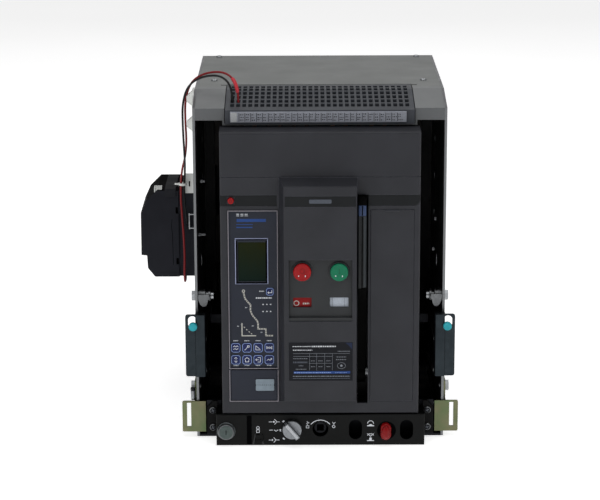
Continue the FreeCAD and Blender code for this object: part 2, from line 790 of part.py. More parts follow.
def make_lead_screw():
    """Racking screw: crank end with a square socket, a thrust collar, the threaded length and a tail."""
    centre = (0, screw_height)
    shaft = rod("Y", centre, screw_radius, -155, 52)
    collar = rod("Y", centre, 9.5, cradle_front - 6, cradle_front - 0.4)
    crest = [rod("Y", centre, screw_radius + 0.6, y, y + 2) for y in range(-122, -76, 4)]
    socket = block((-3.5, 3.5), (-156, -140), (screw_height - 3.5, screw_height + 3.5))
    keep("lead_screw", carve(join(shaft, collar, *crest), socket))


def make_carriage():
    """Racking carriage: a yoke on the lead screw with a nut, and two dogs that drive the breaker."""
    yoke = block((-62, 62), (-18, 0), (7, 31))
    nut = rod("Y", (0, screw_height), 12, -30, 0)
    dogs = [block((side * 50 - 7, side * 50 + 7), (-16, -6), (30, 43.4)) for side in SIDES]
    shoes = [block((side * 76 - 20, side * 76 + 20), (-14, -4), (2.9, 14)) for side in SIDES]
    body = join(yoke, nut, *dogs, *shoes)
    keep("racking_carriage", carve(body, rod("Y", (0, screw_height), screw_radius + running_gap, -31, 1)))


def make_position_knob():
    """Position indicator: a silver knob with a raised bar across it, on a shaft through the sill."""
    x, z = KNOB_CENTRE
    disc = rounded(rod("Y", KNOB_CENTRE, 9.7, -166, face - part_gap), 0.8, (("Y", -166),))
    bar = block((x - 2.6, x + 2.6), (-171.5, -165.8), (z - 9.4, z + 9.4))
    bar = rounded(bar, 1, (("Y", -171.5), ("X", x - 2.6)), (("Y", -171.5), ("X", x + 2.6)))
    bar = turned(bar, "Y", -40, (x, 0, z))
    shaft = rod("Y", KNOB_CENTRE, pin_radius, face - 0.4, -122)
    keep("position_knob", join(disc, bar, shaft))


def make_release_button():
    """Red racking release: a tall rounded button on a stem that slides in the sill."""
    x, z = RELEASE_CENTRE
    cap = slot_hole(RELEASE_CENTRE, *RELEASE_SIZE, (-165, -150))
    cap = rounded(cap, 2, (("Y", -165),))
    stem = rod("Y", (x, z), 3, -151, -124)
    keep("release_button", join(cap, stem))


def make_padlock_tab():
    """Padlock slide: pulled forward, it shows the hole that takes the shackle."""
    tab = block(TAB_X, (face - 1.2, -136), TAB_Z)
    grip = block((TAB_X[0] + 0.8, TAB_X[1] - 0.8), (face - 2.2, face - 1), (TAB_Z[0], TAB_Z[0] + 2))
    middle = (TAB_Z[0] + TAB_Z[1]) / 2
    hole = rod("X", (-151.5, middle), 2.4, TAB_X[0] - 1, TAB_X[1] + 1)
    keep("padlock_tab", carve(join(tab, grip), hole))


def make_key_lock():
    """Cylinder lock that holds the racking mechanism."""
    x, z = LOCK_CENTRE
    head = rounded(rod("Y", LOCK_CENTRE, 8.1, -164.5, -156.6), 1.2, (("Y", -164.5),))
    barrel = join(head, rod("Y", LOCK_CENTRE, 6.8, -157, -138))
    slot = block((x - 0.8, x + 0.8), (-166, -160), (z - 3.2, z + 3.2))
    dish = rod("Y", LOCK_CENTRE, 5.6, -166, -164)
    keep("key_lock", carve(carve(barrel, dish), slot))


# ---------------------------------------------------------------- rails and rollers
RAIL_BUTTON = (128.2, 121.6)


def make_rails():
    """Extension rails with a folded handle plate, and the button that frees each one."""
    bar = block((rail_inner, rail_outer), (-134, rail_rear), (rail_bottom, rail_top))
    relief_z = (rail_bottom + 5, rail_top - 5)
    relief = block((rail_inner - 1, rail_outer - 2.2), (-110, rail_rear - 12), relief_z)
    bar = carve(bar, relief)
    end = block((115.6, 126.2), (-143.5, -133.5), (67.8, 132.7))
    end = rounded(end, 1.8, (("Y", -143.5), ("X", 115.6)), (("Y", -143.5), ("X", 126.2)))
    plate = block((120, 136.2), (-141.5, -139), (67.8, 132.7))
    plate = rounded(plate, 2.4, (("X", 136.2), ("Z", 67.8)), (("X", 136.2), ("Z", 132.7)))
    handle = join(bar, end, plate)
    wall = (-145, -137)
    centre_x, low_z = RAIL_BUTTON
    arch_z = low_z + 5.4
    arch = join(
        block((centre_x - 3.6, centre_x + 5.2), wall, (low_z, arch_z)),
        rod("Y", (centre_x + 0.8, arch_z), 4.4, *wall),
    )
    seat = rod("Y", RAIL_BUTTON, 4.7, *wall)
    right = carve(carve(handle, arch), seat)
    keep("rail_right", right)
    keep("rail_left", mirrored(right))
    cap = rounded(rod("Y", RAIL_BUTTON, 4.3, -148, -144.2), 0.8, (("Y", -148),))
    stem = rod("Y", RAIL_BUTTON, 1.6, -145, -135.5)
    button = join(cap, stem)
    keep("rail_button_right", button)
    keep("rail_button_left", mirrored(button))


def make_rollers():
    """Flanged guide rollers that turn on pins through the side plates."""
    centre = (roller_y, roller_z)
    tread = rounded(rod("X", centre, roller_radius, 116, cradle_inner - 0.4), 0.6, (("X", 116),))
    neck = rod("X", centre, 4.6, 113, 116.5)
    flange = rod("X", centre, 6.3, 111.2, 113.2)
    bore = rod("X", centre, pin_radius + running_gap, 110, cradle_inner)
    right = carve(join(tread, neck, flange), bore)
    keep("guide_roller_right", right)
    keep("guide_roller_left", mirrored(right))


# ---------------------------------------------------------------- breaker housing
TRIP_X = (-91.8, -41.8)
TRIP_Z = (46.9, 245.7)
ACCESSORY_X = (49.6, 93.2)
BAND_Z = (249.6, 260.6)
COLUMN_BAND_Z = (252.9, 263.4)
RECESS_X = (-31.3, 31.5)
RECESS_Z = (136, 199)
PLATE_X = (-31.4, 32)
PLATE_Z = (74.6, 114.3)
RESET_CENTRE = (-88.2, 255.4)
HANDLE_Z = (44.9, 261)


def make_front_cover():
    """Front moulding: flat side columns, a bevelled centre column, and the openings of its units."""
    half = breaker_half
    outer = block((-half, half), (face, case_front), (cover_bottom, cover_top))
    outer_edges = [(("Y", face), ("X", side * half)) for side in SIDES]
    outer = rounded(outer, 2, *outer_edges, (("Y", face), ("Z", cover_bottom)))
    column = wedge(
        column_front, face + 1,
        (-column_half, column_half - 0.2), (53, 272.9),
        (-41.2, slot_left - 0.1), (47, cover_top),
    )
    edges = [(("Y", column_front), ("X", -column_half)), (("Y", column_front), ("Z", 272.9))]
    edges += [(("Y", column_front), ("Z", 53)), (("Y", column_front), ("X", column_half - 0.2))]
    column = rounded(column, 1, *edges)
    solid = join(outer, column)
    wall = moulded_wall
    inside_z = (cover_bottom + wall, cover_top - wall)
    inside = block((-half + wall, half - wall), (face + wall, case_front + 1), inside_z)
    column_inside = wedge(
        column_front + wall, face + wall + 1,
        (-column_half + wall - 1, column_half - wall), (56, 269.5),
        (-38.4, slot_left - wall), (51, 274.5),
    )
    shell = carve(carve(solid, inside), column_inside)
    through = (column_front - 1, face + wall + 1)
    cuts = [
        block(TRIP_X, (face - 1, face + wall + 1), TRIP_Z),
        block((slot_left, slot_right), through, HANDLE_Z),
        block(ACCESSORY_X, (face - 1, face + 1.5), TRIP_Z),
        block((-half - 1, -42.7), (face - 1, face + 0.4), BAND_Z),
        block((slot_right, half + 1), (face - 1, face + 0.4), BAND_Z),
        block((-column_half + 0.8, column_half - 1), (column_front - 1, column_front + 0.4), COLUMN_BAND_Z),
        block(RECESS_X, (column_front - 1, column_front + wall + 2), RECESS_Z),
        block(PLATE_X, (column_front - 1, column_front + 0.6), PLATE_Z),
        rod("Y", RESET_CENTRE, 3.4, face + 0.2, face + wall + 1),
    ]
    keep("front_cover", carve(shell, *cuts))


def make_chute_cover():
    """Cover over the arc chutes, stepped down behind its front edge, with vents at the rear."""
    half = breaker_half
    front = block((-half, half), (face, -128), (279, chute_top))
    front_edges = [(("Y", face), ("Z", chute_top)), (("Y", -128), ("Z", chute_top))]
    front_edges += [(("Y", face), ("X", side * half)) for side in SIDES]
    front = rounded(front, 2.2, *front_edges)
    roof = block((-half, half), (-129, case_rear), (279, 314))
    skirt = block((-half, half), (case_front + 0.1, case_rear), (case_top + 0.4, 280))
    solid = join(front, roof, skirt)
    wall = moulded_wall
    inside = join(
        block((-half + wall, half - wall), (face + wall, -128 - wall), (278, chute_top - wall)),
        block((-half + wall, half - wall), (-132, case_rear - wall), (278, 314 - wall)),
        block((-half + wall, half - wall), (case_front - 1, case_rear - wall), (case_top - 1, 279)),
    )
    vents = []
    for pole in POLES:
        x = pole * pole_pitch * 0.93
        vents += [block((x - 22, x + 22), (y, y + 3), (309, 316)) for y in range(-50, 32, 8)]
    pads = [block((n * 13 - 2.5, n * 13 + 2.5), (-112, -84), (313.4, 315)) for n in range(-6, 7)]
    keep("arc_chute_cover", carve(carve(solid, inside), *vents, *pads))


def make_case():
    """Moulded pole case with three chambers open at the top, and the side feet that ride on the rails."""
    half = breaker_half
    outer = block((-half, half), (case_front, case_rear), (case_bottom, case_top))
    chambers = []
    for low, high in ((-95.5, -36.5), (-33.5, 33.5), (36.5, 95.5)):
        chambers.append(block((low, high), (case_front + 4, case_rear - 4), (case_bottom + 4, case_top + 1)))
    shell = carve(outer, *chambers)
    feet = []
    for side in SIDES:
        inner = side * half
        edge = side * 113.5
        low, high = (inner, edge) if side > 0 else (edge, inner)
        feet.append(block((low, high), (-62, 30), (rail_top + 0.6, 110)))
    catch = block((-62, 62), (-30, -16.4), (36, case_bottom + 1))
    keep("slide_feet", group(*feet))
    body = join(shell, catch)
    slots = []
    for pole in POLES:
        x = pole * pole_pitch
        for level in LEVELS:
            edge_x = (x - bar_width / 2 - BOLT_CLEARANCE, x + bar_width / 2 + BOLT_CLEARANCE)
            edge_z = (level - bar_thickness / 2 - BOLT_CLEARANCE, level + bar_thickness / 2 + BOLT_CLEARANCE)
            slots.append(block(edge_x, (case_rear - 6, case_rear + 1), edge_z))
    bearings = [rod("X", (shaft_y, shaft_z), shaft_radius + running_gap, x - 3, x + 3) for x in (-35, 35)]
    keep("breaker_case", carve(body, *slots, *bearings))


# ---------------------------------------------------------------- breaker front units
def make_control_bezel():
    """Sunken operating panel in the centre column, with button collars and indicator windows."""
    x0, x1 = RECESS_X
    gap = 0.1
    plate_z = (RECESS_Z[0] + gap, RECESS_Z[1] - gap)
    plate = block((x0 + gap, x1 - gap), (panel_face, panel_face + 2.2), plate_z)
    ledge = block((x0 + gap, x1 - gap), (-176.6, panel_face + 1), (RECESS_Z[0] + gap, 139.6))
    collars = [
        rounded(rod("Y", centre, 10.4, -175.6, panel_face + 1), 0.8, (("Y", -175.6),))
        for centre in BUTTONS.values()
    ]
    body = join(plate, ledge, *collars)
    holes = [rod("Y", centre, BUTTON_RADIUS + part_gap, -178, panel_face + 3) for centre in BUTTONS.values()]
    windows = [block(window, (panel_face - 1, panel_face + 3), WINDOW_Z) for window in WINDOWS]
    keep("control_bezel", carve(body, *holes, *windows))


BUTTONS = {"off_button": (-18, 186.5), "on_button": (18.5, 186.4)}
BUTTON_RADIUS = 8.9
WINDOWS = ((-27.1, -8.8), (9.4, 27.8))
WINDOW_Z = (149.6, 159.6)


def make_buttons():
    """Round OFF and ON push buttons with dished faces and guide stems."""
    for name, centre in BUTTONS.items():
        cap = rod("Y", centre, BUTTON_RADIUS, -178.5, -166)
        cap = rounded(cap, 1.1, (("Y", -178.5),))
        stem = rod("Y", centre, 3.5, -167, -150)
        keep(name, join(cap, stem))


def make_flags():
    """Two-colour indicator flags behind the windows: each slides down by one window height."""
    for name, window in zip(("contact_flag", "charge_flag"), WINDOWS):
        plate = block((window[0] - 1.4, window[1] + 1.4), (-170.9, -169.7), (148.4, 172))
        middle = (window[0] + window[1]) / 2
        stalk = block((middle - 1.5, middle + 1.5), (-169.8, -164), (148.4, 151))
        keep(name, join(plate, stalk))


def make_nameplate():
    """Rating plate on the centre column."""
    plate = block((PLATE_X[0] + 0.1, PLATE_X[1] - 0.1), (column_front - 0.2, column_front + 0.6), PLATE_Z)
    keep("nameplate", plate)


def make_accessory_cover():
    """Snap-in cover over the accessory bay of the right column."""
    gap = 0.25
    x = (ACCESSORY_X[0] + gap, ACCESSORY_X[1] - gap)
    z = (TRIP_Z[0] + gap, TRIP_Z[1] - gap)
    plate = block(x, (face - 0.5, face + 1.5), z)
    plate = rounded(plate, 0.4, *[(("Y", face - 0.5), ("X", edge)) for edge in x])
    grip = block((x[0] + 15, x[1] - 15), (face - 1.6, face + 0.2), (z[1] - 1.4, z[1] - 0.4))
    keep("accessory_cover", join(plate, grip))


HATCH_X = (-89.7, -43.9)
HATCH_Z = (48.3, 80.4)
SCREEN_X = (-81.6, -53.9)
SCREEN_Z = (173, 213.2)
KEY_PITCH = (11.2, 12.6)
KEY_START = (-84.8, 103.7)
ENTER_KEY = (-50.2, 162)


def make_trip_unit():
    """Electronic trip unit: housing, a raised rim round its face, the screen frame and the hatch recess."""
    gap = 0.2
    x = (TRIP_X[0] + gap, TRIP_X[1] - gap)
    z = (TRIP_Z[0] + gap, TRIP_Z[1] - gap)
    front = face + 0.6
    body = block(x, (front, -132), z)
    rim_outer = block(x, (face - 0.9, front + 0.5), z)
    rim_inner = block((x[0] + 1.6, x[1] - 1.6), (face - 2, front + 2), (z[0] + 1.6, z[1] - 1.6))
    rim = carve(rim_outer, rim_inner)
    frame_outer = block((-84.4, -51.8), (face - 0.9, front + 0.5), (170.9, 215.2))
    corners = [(("X", px), ("Z", pz)) for px in (-84.4, -51.8) for pz in (170.9, 215.2)]
    frame_outer = rounded(frame_outer, 2, *corners)
    frame_inner = block(SCREEN_X, (face - 2, front + 2), SCREEN_Z)
    shelf = block((x[0] + 1, x[1] - 1), (face - 0.9, front + 0.5), (81.6, 83.2))
    solid = join(body, rim, carve(frame_outer, frame_inner), shelf)
    recess = block((x[0] + 1.6, x[1] - 1.6), (face - 2, -150), (z[0] + 1.0, 81.6))
    screen_seat = block(SCREEN_X, (face - 2, front + 0.8), SCREEN_Z)
    keep("trip_unit", carve(solid, recess, screen_seat))
    glass_x = (SCREEN_X[0] + 0.1, SCREEN_X[1] - 0.1)
    glass_z = (SCREEN_Z[0] + 0.1, SCREEN_Z[1] - 0.1)
    keep("trip_screen", block(glass_x, (face - 0.3, front + 0.8), glass_z))
    keys = []
    for row in range(2):
        for column in range(4):
            centre_x = KEY_START[0] + column * KEY_PITCH[0]
            centre_z = KEY_START[1] - row * KEY_PITCH[1]
            keys.append(key_cap(centre_x, centre_z, 4.7, 4.9, front))
    keys.append(key_cap(*ENTER_KEY, 3.8, 4, front))
    keep("trip_keys", group(*keys))


def key_cap(x, z, half_width, half_height, front):
    """One low rounded key of the trip unit's keypad."""
    cap = block((x - half_width, x + half_width), (front - 0.7, front), (z - half_height, z + half_height))
    corners = [(("X", x + sx * half_width), ("Z", z + sz * half_height)) for sx in SIDES for sz in SIDES]
    return rounded(cap, 1.4, *corners)


def make_trip_hatch():
    """Drop-down hatch over the trip unit's test socket, with a round hinge edge and a finger pad."""
    front = face - 0.7
    edge = 0.9
    plate = block(HATCH_X, (front, front + 2 * edge), (HATCH_Z[0] + edge, HATCH_Z[1]))
    barrel = rod("X", (front + edge, HATCH_Z[0] + edge), edge, *HATCH_X)
    pad = block((-65.3, -46.2), (front - 1, front + 0.2), (58.6, 71.4))
    pad = rounded(pad, 0.7, (("Y", front - 1), ("Z", 58.6)), (("Y", front - 1), ("Z", 71.4)))
    keep("trip_hatch", join(plate, barrel, pad))


def make_reset_button():
    """Red fault reset button above the trip unit."""
    cap = rounded(rod("Y", RESET_CENTRE, 3.1, -162.6, -158), 0.9, (("Y", -162.6),))
    stem = rod("Y", RESET_CENTRE, 1.5, -158.5, -150)
    keep("reset_button", join(cap, stem))


# ---------------------------------------------------------------- breaker mechanism
def make_handle():
    """Charging handle: a deep lever that lies in the slot and swings forward about the cam shaft."""
    x0, x1 = 37.6, 45.6
    outline = (
        (-133, 72),
        (-140, 62),
        (-148, 66),
        (-157, 150),
        (-165, 165),
        (-166.5, 258),
        (-164.5, 260.4),
        (-154, 260.4),
        (-152, 256),
        (-148, 160),
    )
    arm = padded("YZ", outline, x0, x1)
    boss = rod("X", (cam_y, cam_z), 10.5, x0, x1)
    blade = rounded(arm, 0.7, (("X", x0), ("Z", 260.4)), (("X", x1), ("Z", 260.4)))
    bore = rod("X", (cam_y, cam_z), cam_radius + running_gap, 37, 47)
    keep("charging_handle", carve(join(blade, boss), bore))


def make_cam_shaft():
    """Cam shaft with its closing cam and the ratchet wheel that the charging handle drives."""
    centre = (cam_y, cam_z)
    shaft = rod("X", centre, cam_radius, -30, 52)
    cam = rod("X", (cam_y, cam_z + 3), 10, -6, 4)
    wheel = rod("X", centre, 14, 27, 33.4)
    crank = rod("X", (cam_y, cam_z - 8), 2.5, -22, -6)
    web = rod("X", centre, 11, -9, -6)
    notches = []
    for tooth in range(16):
        angle = math.radians(tooth * 22.5)
        place_y = cam_y.value + 14 * math.cos(angle)
        place_z = cam_z.value + 14 * math.sin(angle)
        notches.append(rod("X", (place_y, place_z), 1.3, 26, 35))
    keep("cam_shaft", carve(join(shaft, cam, wheel, crank, web), *notches))


def make_mechanism_frame():
    """Steel cheeks that carry the cam shaft, fixed to the front wall of the case."""
    cheeks = []
    for x in (-28, 20, 48.6):
        cheek = block((x, x + 2.5), (-154, case_front), (50, 128))
        cheeks.append(carve(cheek, rod("X", (cam_y, cam_z), cam_radius + running_gap, x - 1, x + 4)))
    keep("mechanism_frame", group(*cheeks))


def make_closing_spring():
    """Closing spring: a coil that the crank stretches as the mechanism is charged."""
    coil = Part.makeHelix(5, 40, 6.5)
    section = Part.Wire(Part.Circle(Vector(6.5, 0, 0), Vector(0, 1, 0), 1.2).toShape())
    solid = Part.Wire(coil.Edges).makePipeShell([section], True, True)
    thing = shape_object(solid)
    thing.Placement = Placement(Vector(-16, cam_y.value - 1, cam_z.value + 14), Rotation())
    keep("closing_spring", thing)


ARM_TILT = 20
ARM_LENGTH = 78


def make_main_shaft():
    """Main shaft that carries the three moving contacts, held open and tilted away from the fixed ones."""
    shaft = rod("X", (shaft_y, shaft_z), shaft_radius, -93, 93)
    keep("main_shaft", shaft)
    arms = []
    for pole in POLES:
        x = pole * pole_pitch * 0.93
        hub = rod("X", (0, 0), 12, x - 14, x + 14)
        blade = block((x - 14, x + 14), (-5, 5), (4, ARM_LENGTH))
        tip = block((x - 13, x + 13), (4, 7.5), (ARM_LENGTH - 12, ARM_LENGTH - 1))
        arm = carve(join(hub, blade, tip), rod("X", (0, 0), shaft_radius, x - 15, x + 15))
        tilted = turned(arm, "X", -ARM_TILT, (0, 0, 0))
        arms.append(place_group(tilted))
    keep("moving_contacts", group(*arms))


def place_group(piece):
    """Carry a piece made about the main shaft's axis to the shaft's place."""
    turn = piece.Placement.Rotation
    return place(piece, (0, shaft_y, shaft_z), turn)


def make_main_circuit():
    """Fixed contact bars, finger clusters, current transformers and arc chutes of the three poles."""
    bars = []
    clusters = []
    transformers = []
    chutes = []
    for pole in POLES:
        x = pole * pole_pitch
        span = (x - bar_width / 2, x + bar_width / 2)
        upper = (upper_level - bar_thickness / 2, upper_level + bar_thickness / 2)
        lower = (lower_level - bar_thickness / 2, lower_level + bar_thickness / 2)
        arm_x = pole * pole_pitch * 0.93
        contact = block((arm_x - 13, arm_x + 13), (-9, -4), (195, 212))
        bars.append(join(block(span, (-5, 62), upper), contact))
        bars.append(block(span, (-38, 62), lower))
        for level in LEVELS:
            cage = block((x - 24.5, x + 24.5), (52, 92), (level - 11, level + 11))
            channel = block((x - 22.4, x + 22.4), (51, 93), (level - 5.3, level + 5.3))
            gaps = [
                block((x + step * 5.6 - 0.5, x + step * 5.6 + 0.5), (62, 93), (level - 12, level + 12))
                for step in range(-3, 4)
            ]
            clusters.append(carve(carve(cage, channel), *gaps))
        ring = block((x - 24.6, x + 24.6), (14, 32), (level_low(-19), level_low(19)))
        window = block((x - 22.3, x + 22.3), (13, 33), (level_low(-5.5), level_low(5.5)))
        transformers.append(carve(ring, window))
        chute_x = (arm_x - 20, arm_x + 20)
        chute = block(chute_x, (-70, 36), (232, 305))
        plates = [block((chute_x[0] - 1, chute_x[1] - 2), (y, y + 5), (231, 300)) for y in range(-64, 30, 9)]
        chutes.append(carve(chute, *plates))
    keep("fixed_contacts", group(*bars))
    keep("finger_clusters", group(*clusters))
    keep("current_transformers", group(*transformers))
    keep("arc_chutes", group(*chutes))


def level_low(offset):
    """A height measured from the lower contact bars."""
    return lower_level + offset


# ---------------------------------------------------------------- build, check and write
SUB_PARTS = (
    make_side_plates,
    make_top_plate,
    make_crossbar,
    make_floor,
    make_brackets,
    make_fasteners,
    make_insulator,
    make_terminals,
    make_shutters,
    make_terminal_block,
    make_secondary_fingers,
    make_relay,
    make_wires,
    make_racking_panel,
    make_lead_screw,
    make_carriage,
    make_position_knob,
    make_release_button,
    make_padlock_tab,
    make_key_lock,
    make_rails,
    make_rollers,
    make_front_cover,
    make_chute_cover,
    make_case,
    make_control_bezel,
    make_buttons,
    make_flags,
    make_nameplate,
    make_accessory_cover,
    make_trip_unit,
    make_trip_hatch,
    make_reset_button,
    make_handle,
    make_cam_shaft,
    make_mechanism_frame,
    make_closing_spring,
    make_main_shaft,
    make_main_circuit,
)

for make in SUB_PARTS:
    make()
doc.recompute()

failed = [item.Name for item in doc.Objects if {"Invalid", "Error"} & set(item.State)]
if failed:
    raise RuntimeError(f"these objects failed: {failed}")
for name, piece in nodes.items():
    shape = piece.Shape
    if shape.isNull() or not shape.isValid() or shape.Volume <= 0 or not shape.Solids:
        raise RuntimeError(f"{name} is not a valid solid")
    shape.exportStep(f"parts/{name}.step")
print(f"{len(nodes)} nodes written")
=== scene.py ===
"""Air circuit breaker in its draw-out cradle: finishes, prints, wires and studio around the CAD frame."""

import json
import math
import random

import bmesh
import bpy
from mathutils import Matrix, Vector
from mathutils.bvhtree import BVHTree

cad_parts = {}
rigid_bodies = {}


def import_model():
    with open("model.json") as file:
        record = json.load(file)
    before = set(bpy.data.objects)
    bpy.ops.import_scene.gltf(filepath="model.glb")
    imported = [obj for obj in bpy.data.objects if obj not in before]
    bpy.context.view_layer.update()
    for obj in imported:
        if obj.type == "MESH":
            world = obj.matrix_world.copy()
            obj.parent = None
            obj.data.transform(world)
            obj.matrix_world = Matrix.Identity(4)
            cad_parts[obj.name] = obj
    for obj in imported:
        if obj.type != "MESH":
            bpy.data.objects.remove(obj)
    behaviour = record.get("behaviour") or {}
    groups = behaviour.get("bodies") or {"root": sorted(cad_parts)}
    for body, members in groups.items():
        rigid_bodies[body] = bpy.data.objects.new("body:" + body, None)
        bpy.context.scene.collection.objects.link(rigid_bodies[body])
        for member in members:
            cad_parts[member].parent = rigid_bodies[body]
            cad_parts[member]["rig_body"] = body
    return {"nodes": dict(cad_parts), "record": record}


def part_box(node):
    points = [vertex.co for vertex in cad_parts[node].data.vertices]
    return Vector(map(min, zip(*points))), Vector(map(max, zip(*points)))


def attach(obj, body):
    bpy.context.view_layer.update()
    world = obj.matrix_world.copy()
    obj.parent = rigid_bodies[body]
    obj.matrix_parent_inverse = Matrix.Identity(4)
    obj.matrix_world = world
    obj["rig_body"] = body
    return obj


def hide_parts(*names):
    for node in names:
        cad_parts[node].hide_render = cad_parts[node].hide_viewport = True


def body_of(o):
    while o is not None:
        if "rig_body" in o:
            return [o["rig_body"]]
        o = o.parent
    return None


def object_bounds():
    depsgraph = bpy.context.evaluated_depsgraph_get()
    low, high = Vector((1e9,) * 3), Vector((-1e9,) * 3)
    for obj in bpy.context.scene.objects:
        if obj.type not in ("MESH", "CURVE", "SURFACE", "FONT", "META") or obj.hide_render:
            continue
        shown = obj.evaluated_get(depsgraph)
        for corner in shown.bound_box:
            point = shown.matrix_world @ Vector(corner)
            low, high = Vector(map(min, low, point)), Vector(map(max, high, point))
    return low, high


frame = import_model()
cad_low, cad_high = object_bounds()

MM = 0.001
DICE = random.Random(7)
NODE_SLOT = {part["node"]: part["material_slot"] for part in frame["record"]["subparts"]}


def at(*millimetres):
    """A point given in millimetres."""
    return Vector(millimetres) * MM


def corners(node):
    """The lowest and highest corners of a CAD node, in millimetres."""
    return tuple(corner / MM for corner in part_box(node))


def rgb(web, factor=1.0):
    """The linear colour of a web colour, lighter or darker by a factor."""
    parts = [int(web[i:i + 2], 16) / 255 for i in (1, 3, 5)]
    linear = [c / 12.92 if c <= 0.04045 else ((c + 0.055) / 1.055) ** 2.4 for c in parts]
    return tuple(min(1.0, c * factor) for c in linear) + (1.0,)


# ---------------------------------------------------------------- finishes
class Finish:
    """A material made of nodes, with patterns laid out in the frame's metres."""

    def __init__(self, name, rough=0.5, metallic=0.0, coat=0.0, specular=0.5):
        self.material = bpy.data.materials.new(name)
        self.material.use_nodes = True
        self.tree = self.material.node_tree
        self.tree.nodes.clear()
        self.place = self.add("ShaderNodeTexCoord").outputs["Object"]
        self.geometry = self.add("ShaderNodeNewGeometry")
        self.shader = self.add("ShaderNodeBsdfPrincipled")
        self.shader.inputs["Metallic"].default_value = metallic
        self.shader.inputs["Roughness"].default_value = rough
        self.shader.inputs["Coat Weight"].default_value = coat
        self.shader.inputs["Coat Roughness"].default_value = 0.12
        self.shader.inputs["Specular IOR Level"].default_value = specular
        self.rough = rough
        self.normal = None
        out = self.add("ShaderNodeOutputMaterial")
        self.link(self.shader.outputs[0], out.inputs["Surface"])

    def add(self, kind, **settings):
        """A new node with some of its own settings."""
        made = self.tree.nodes.new(kind)
        for key, value in settings.items():
            setattr(made, key, value)
        return made

    def link(self, source, target):
        """A wire between two sockets."""
        self.tree.links.new(source, target)

    def noise(self, size, stretch=(1, 1, 1), detail=3.0):
        """Soft noise with features of a size in millimetres, longer along an axis with a small stretch."""
        scaled = self.add("ShaderNodeMapping")
        scaled.inputs["Scale"].default_value = stretch
        self.link(self.place, scaled.inputs["Vector"])
        made = self.add("ShaderNodeTexNoise")
        made.inputs["Scale"].default_value = 1 / (size * MM)
        made.inputs["Detail"].default_value = detail
        self.link(scaled.outputs[0], made.inputs["Vector"])
        return made.outputs["Fac"]

    def spread(self, value, low, high, start=0.3, end=0.7):
        """A pattern's middle range turned into another range."""
        made = self.add("ShaderNodeMapRange")
        for key, number in (("From Min", start), ("From Max", end), ("To Min", low), ("To Max", high)):
            made.inputs[key].default_value = number
        self.link(value, made.inputs["Value"])
        return made.outputs["Result"]

    def axis(self, vector, name):
        """One of a vector's X, Y and Z."""
        made = self.add("ShaderNodeSeparateXYZ")
        self.link(vector, made.inputs[0])
        return made.outputs[name]

    def faces_front(self):
        """A mask that is 1 on faces turned to the front of the object."""
        return self.spread(self.axis(self.geometry.outputs["Normal"], "Y"), 1.0, 0.0, -0.95, -0.8)

    def times(self, first, second):
        """Two patterns multiplied."""
        made = self.add("ShaderNodeMath", operation="MULTIPLY")
        self.link(first, made.inputs[0])
        self.link(second, made.inputs[1])
        return made.outputs[0]

    def mix(self, factor, first, second):
        """Two colours, or a colour and a socket, mixed by a pattern."""
        made = self.add("ShaderNodeMix", data_type="RGBA")
        self.link(factor, made.inputs["Factor"])
        for socket, colour in ((made.inputs["A"], first), (made.inputs["B"], second)):
            if isinstance(colour, tuple):
                socket.default_value = colour
            else:
                self.link(colour, socket)
        return made.outputs["Result"]

    def colour(self, socket):
        """The shader's base colour from a socket."""
        self.link(socket, self.shader.inputs["Base Color"])

    def uneven_gloss(self, size, amount, stretch=(1, 1, 1)):
        """Roughness that drifts, as on handled or rubbed surfaces."""
        pattern = self.spread(self.noise(size, stretch), self.rough - amount, self.rough + amount)
        self.link(pattern, self.shader.inputs["Roughness"])

    def soft_edges(self, radius):
        """Shading that rounds the edges; returns a mask that is 1 along them."""
        bevel = self.add("ShaderNodeBevel", samples=4)
        bevel.inputs["Radius"].default_value = radius * MM
        self.normal = bevel.outputs["Normal"]
        self.link(self.normal, self.shader.inputs["Normal"])
        made = self.add("ShaderNodeVectorMath", operation="DOT_PRODUCT")
        self.link(self.normal, made.inputs[0])
        self.link(self.geometry.outputs["Normal"], made.inputs[1])
        return self.spread(made.outputs["Value"], 1.0, 0.0, 0.80, 0.985)

    def relief(self, pattern, depth, strength=1.0):
        """Fine bumps, on top of whatever shading normal there is."""
        bump = self.add("ShaderNodeBump")
        bump.inputs["Distance"].default_value = depth * MM
        bump.inputs["Strength"].default_value = strength
        self.link(pattern, bump.inputs["Height"])
        if self.normal is not None:
            self.link(self.normal, bump.inputs["Normal"])
        self.normal = bump.outputs["Normal"]
        self.link(self.normal, self.shader.inputs["Normal"])


def moulded(
    name, web, rough=0.48, grain=0.35, depth=0.035, edge=0.45, rub_and_highlight=1.7, specular=0.26, painted_shade_depth=None, top=None
):
    """Moulded plastic: grain, a drift of shade, lighter edges that are part rubbed wear and part painted
    highlight, painted black shade behind a depth in the holes, and a painted darker shade on top faces.
    """
    made = Finish(name, rough, 0.0, 0.0, specular)
    body = made.mix(made.spread(made.noise(38), 0, 1), rgb(web, 0.86), rgb(web, 1.12))
    fine_dust = made.spread(made.noise(7, detail=6), 0, 0.3, 0.5, 0.8)
    dust = made.times(fine_dust, made.spread(made.noise(60), 0, 1))
    body = made.mix(dust, body, rgb(web, 1.3))
    # Lighter edges: part rubbed wear, part painted highlight on the rounded edges.
    mask = made.soft_edges(edge)
    body = made.mix(made.times(mask, made.spread(made.noise(5), 0.3, 0.95)), body, rgb(web, rub_and_highlight))
    # Painted shade: faces set back behind the given depth turn near black, as shade in the holes.
    if painted_shade_depth is not None:
        inside = made.spread(made.axis(made.place, "Y"), 0.0, 1.0, painted_shade_depth * MM, (painted_shade_depth + 1.5) * MM)
        body = made.mix(inside, body, rgb("#020202"))
    # Painted shade: faces turned upward take the top colour, a darker shade standing in for how light falls on
    # the top.
    if top is not None:
        up = made.axis(made.geometry.outputs["Normal"], "Z")
        body = made.mix(made.spread(up, 0.0, 1.0, 0.2, 0.6), body, rgb(top))
    made.colour(body)
    made.uneven_gloss(22, 0.05)
    made.relief(made.noise(grain, detail=1.5), depth, 0.6)
    return made.material


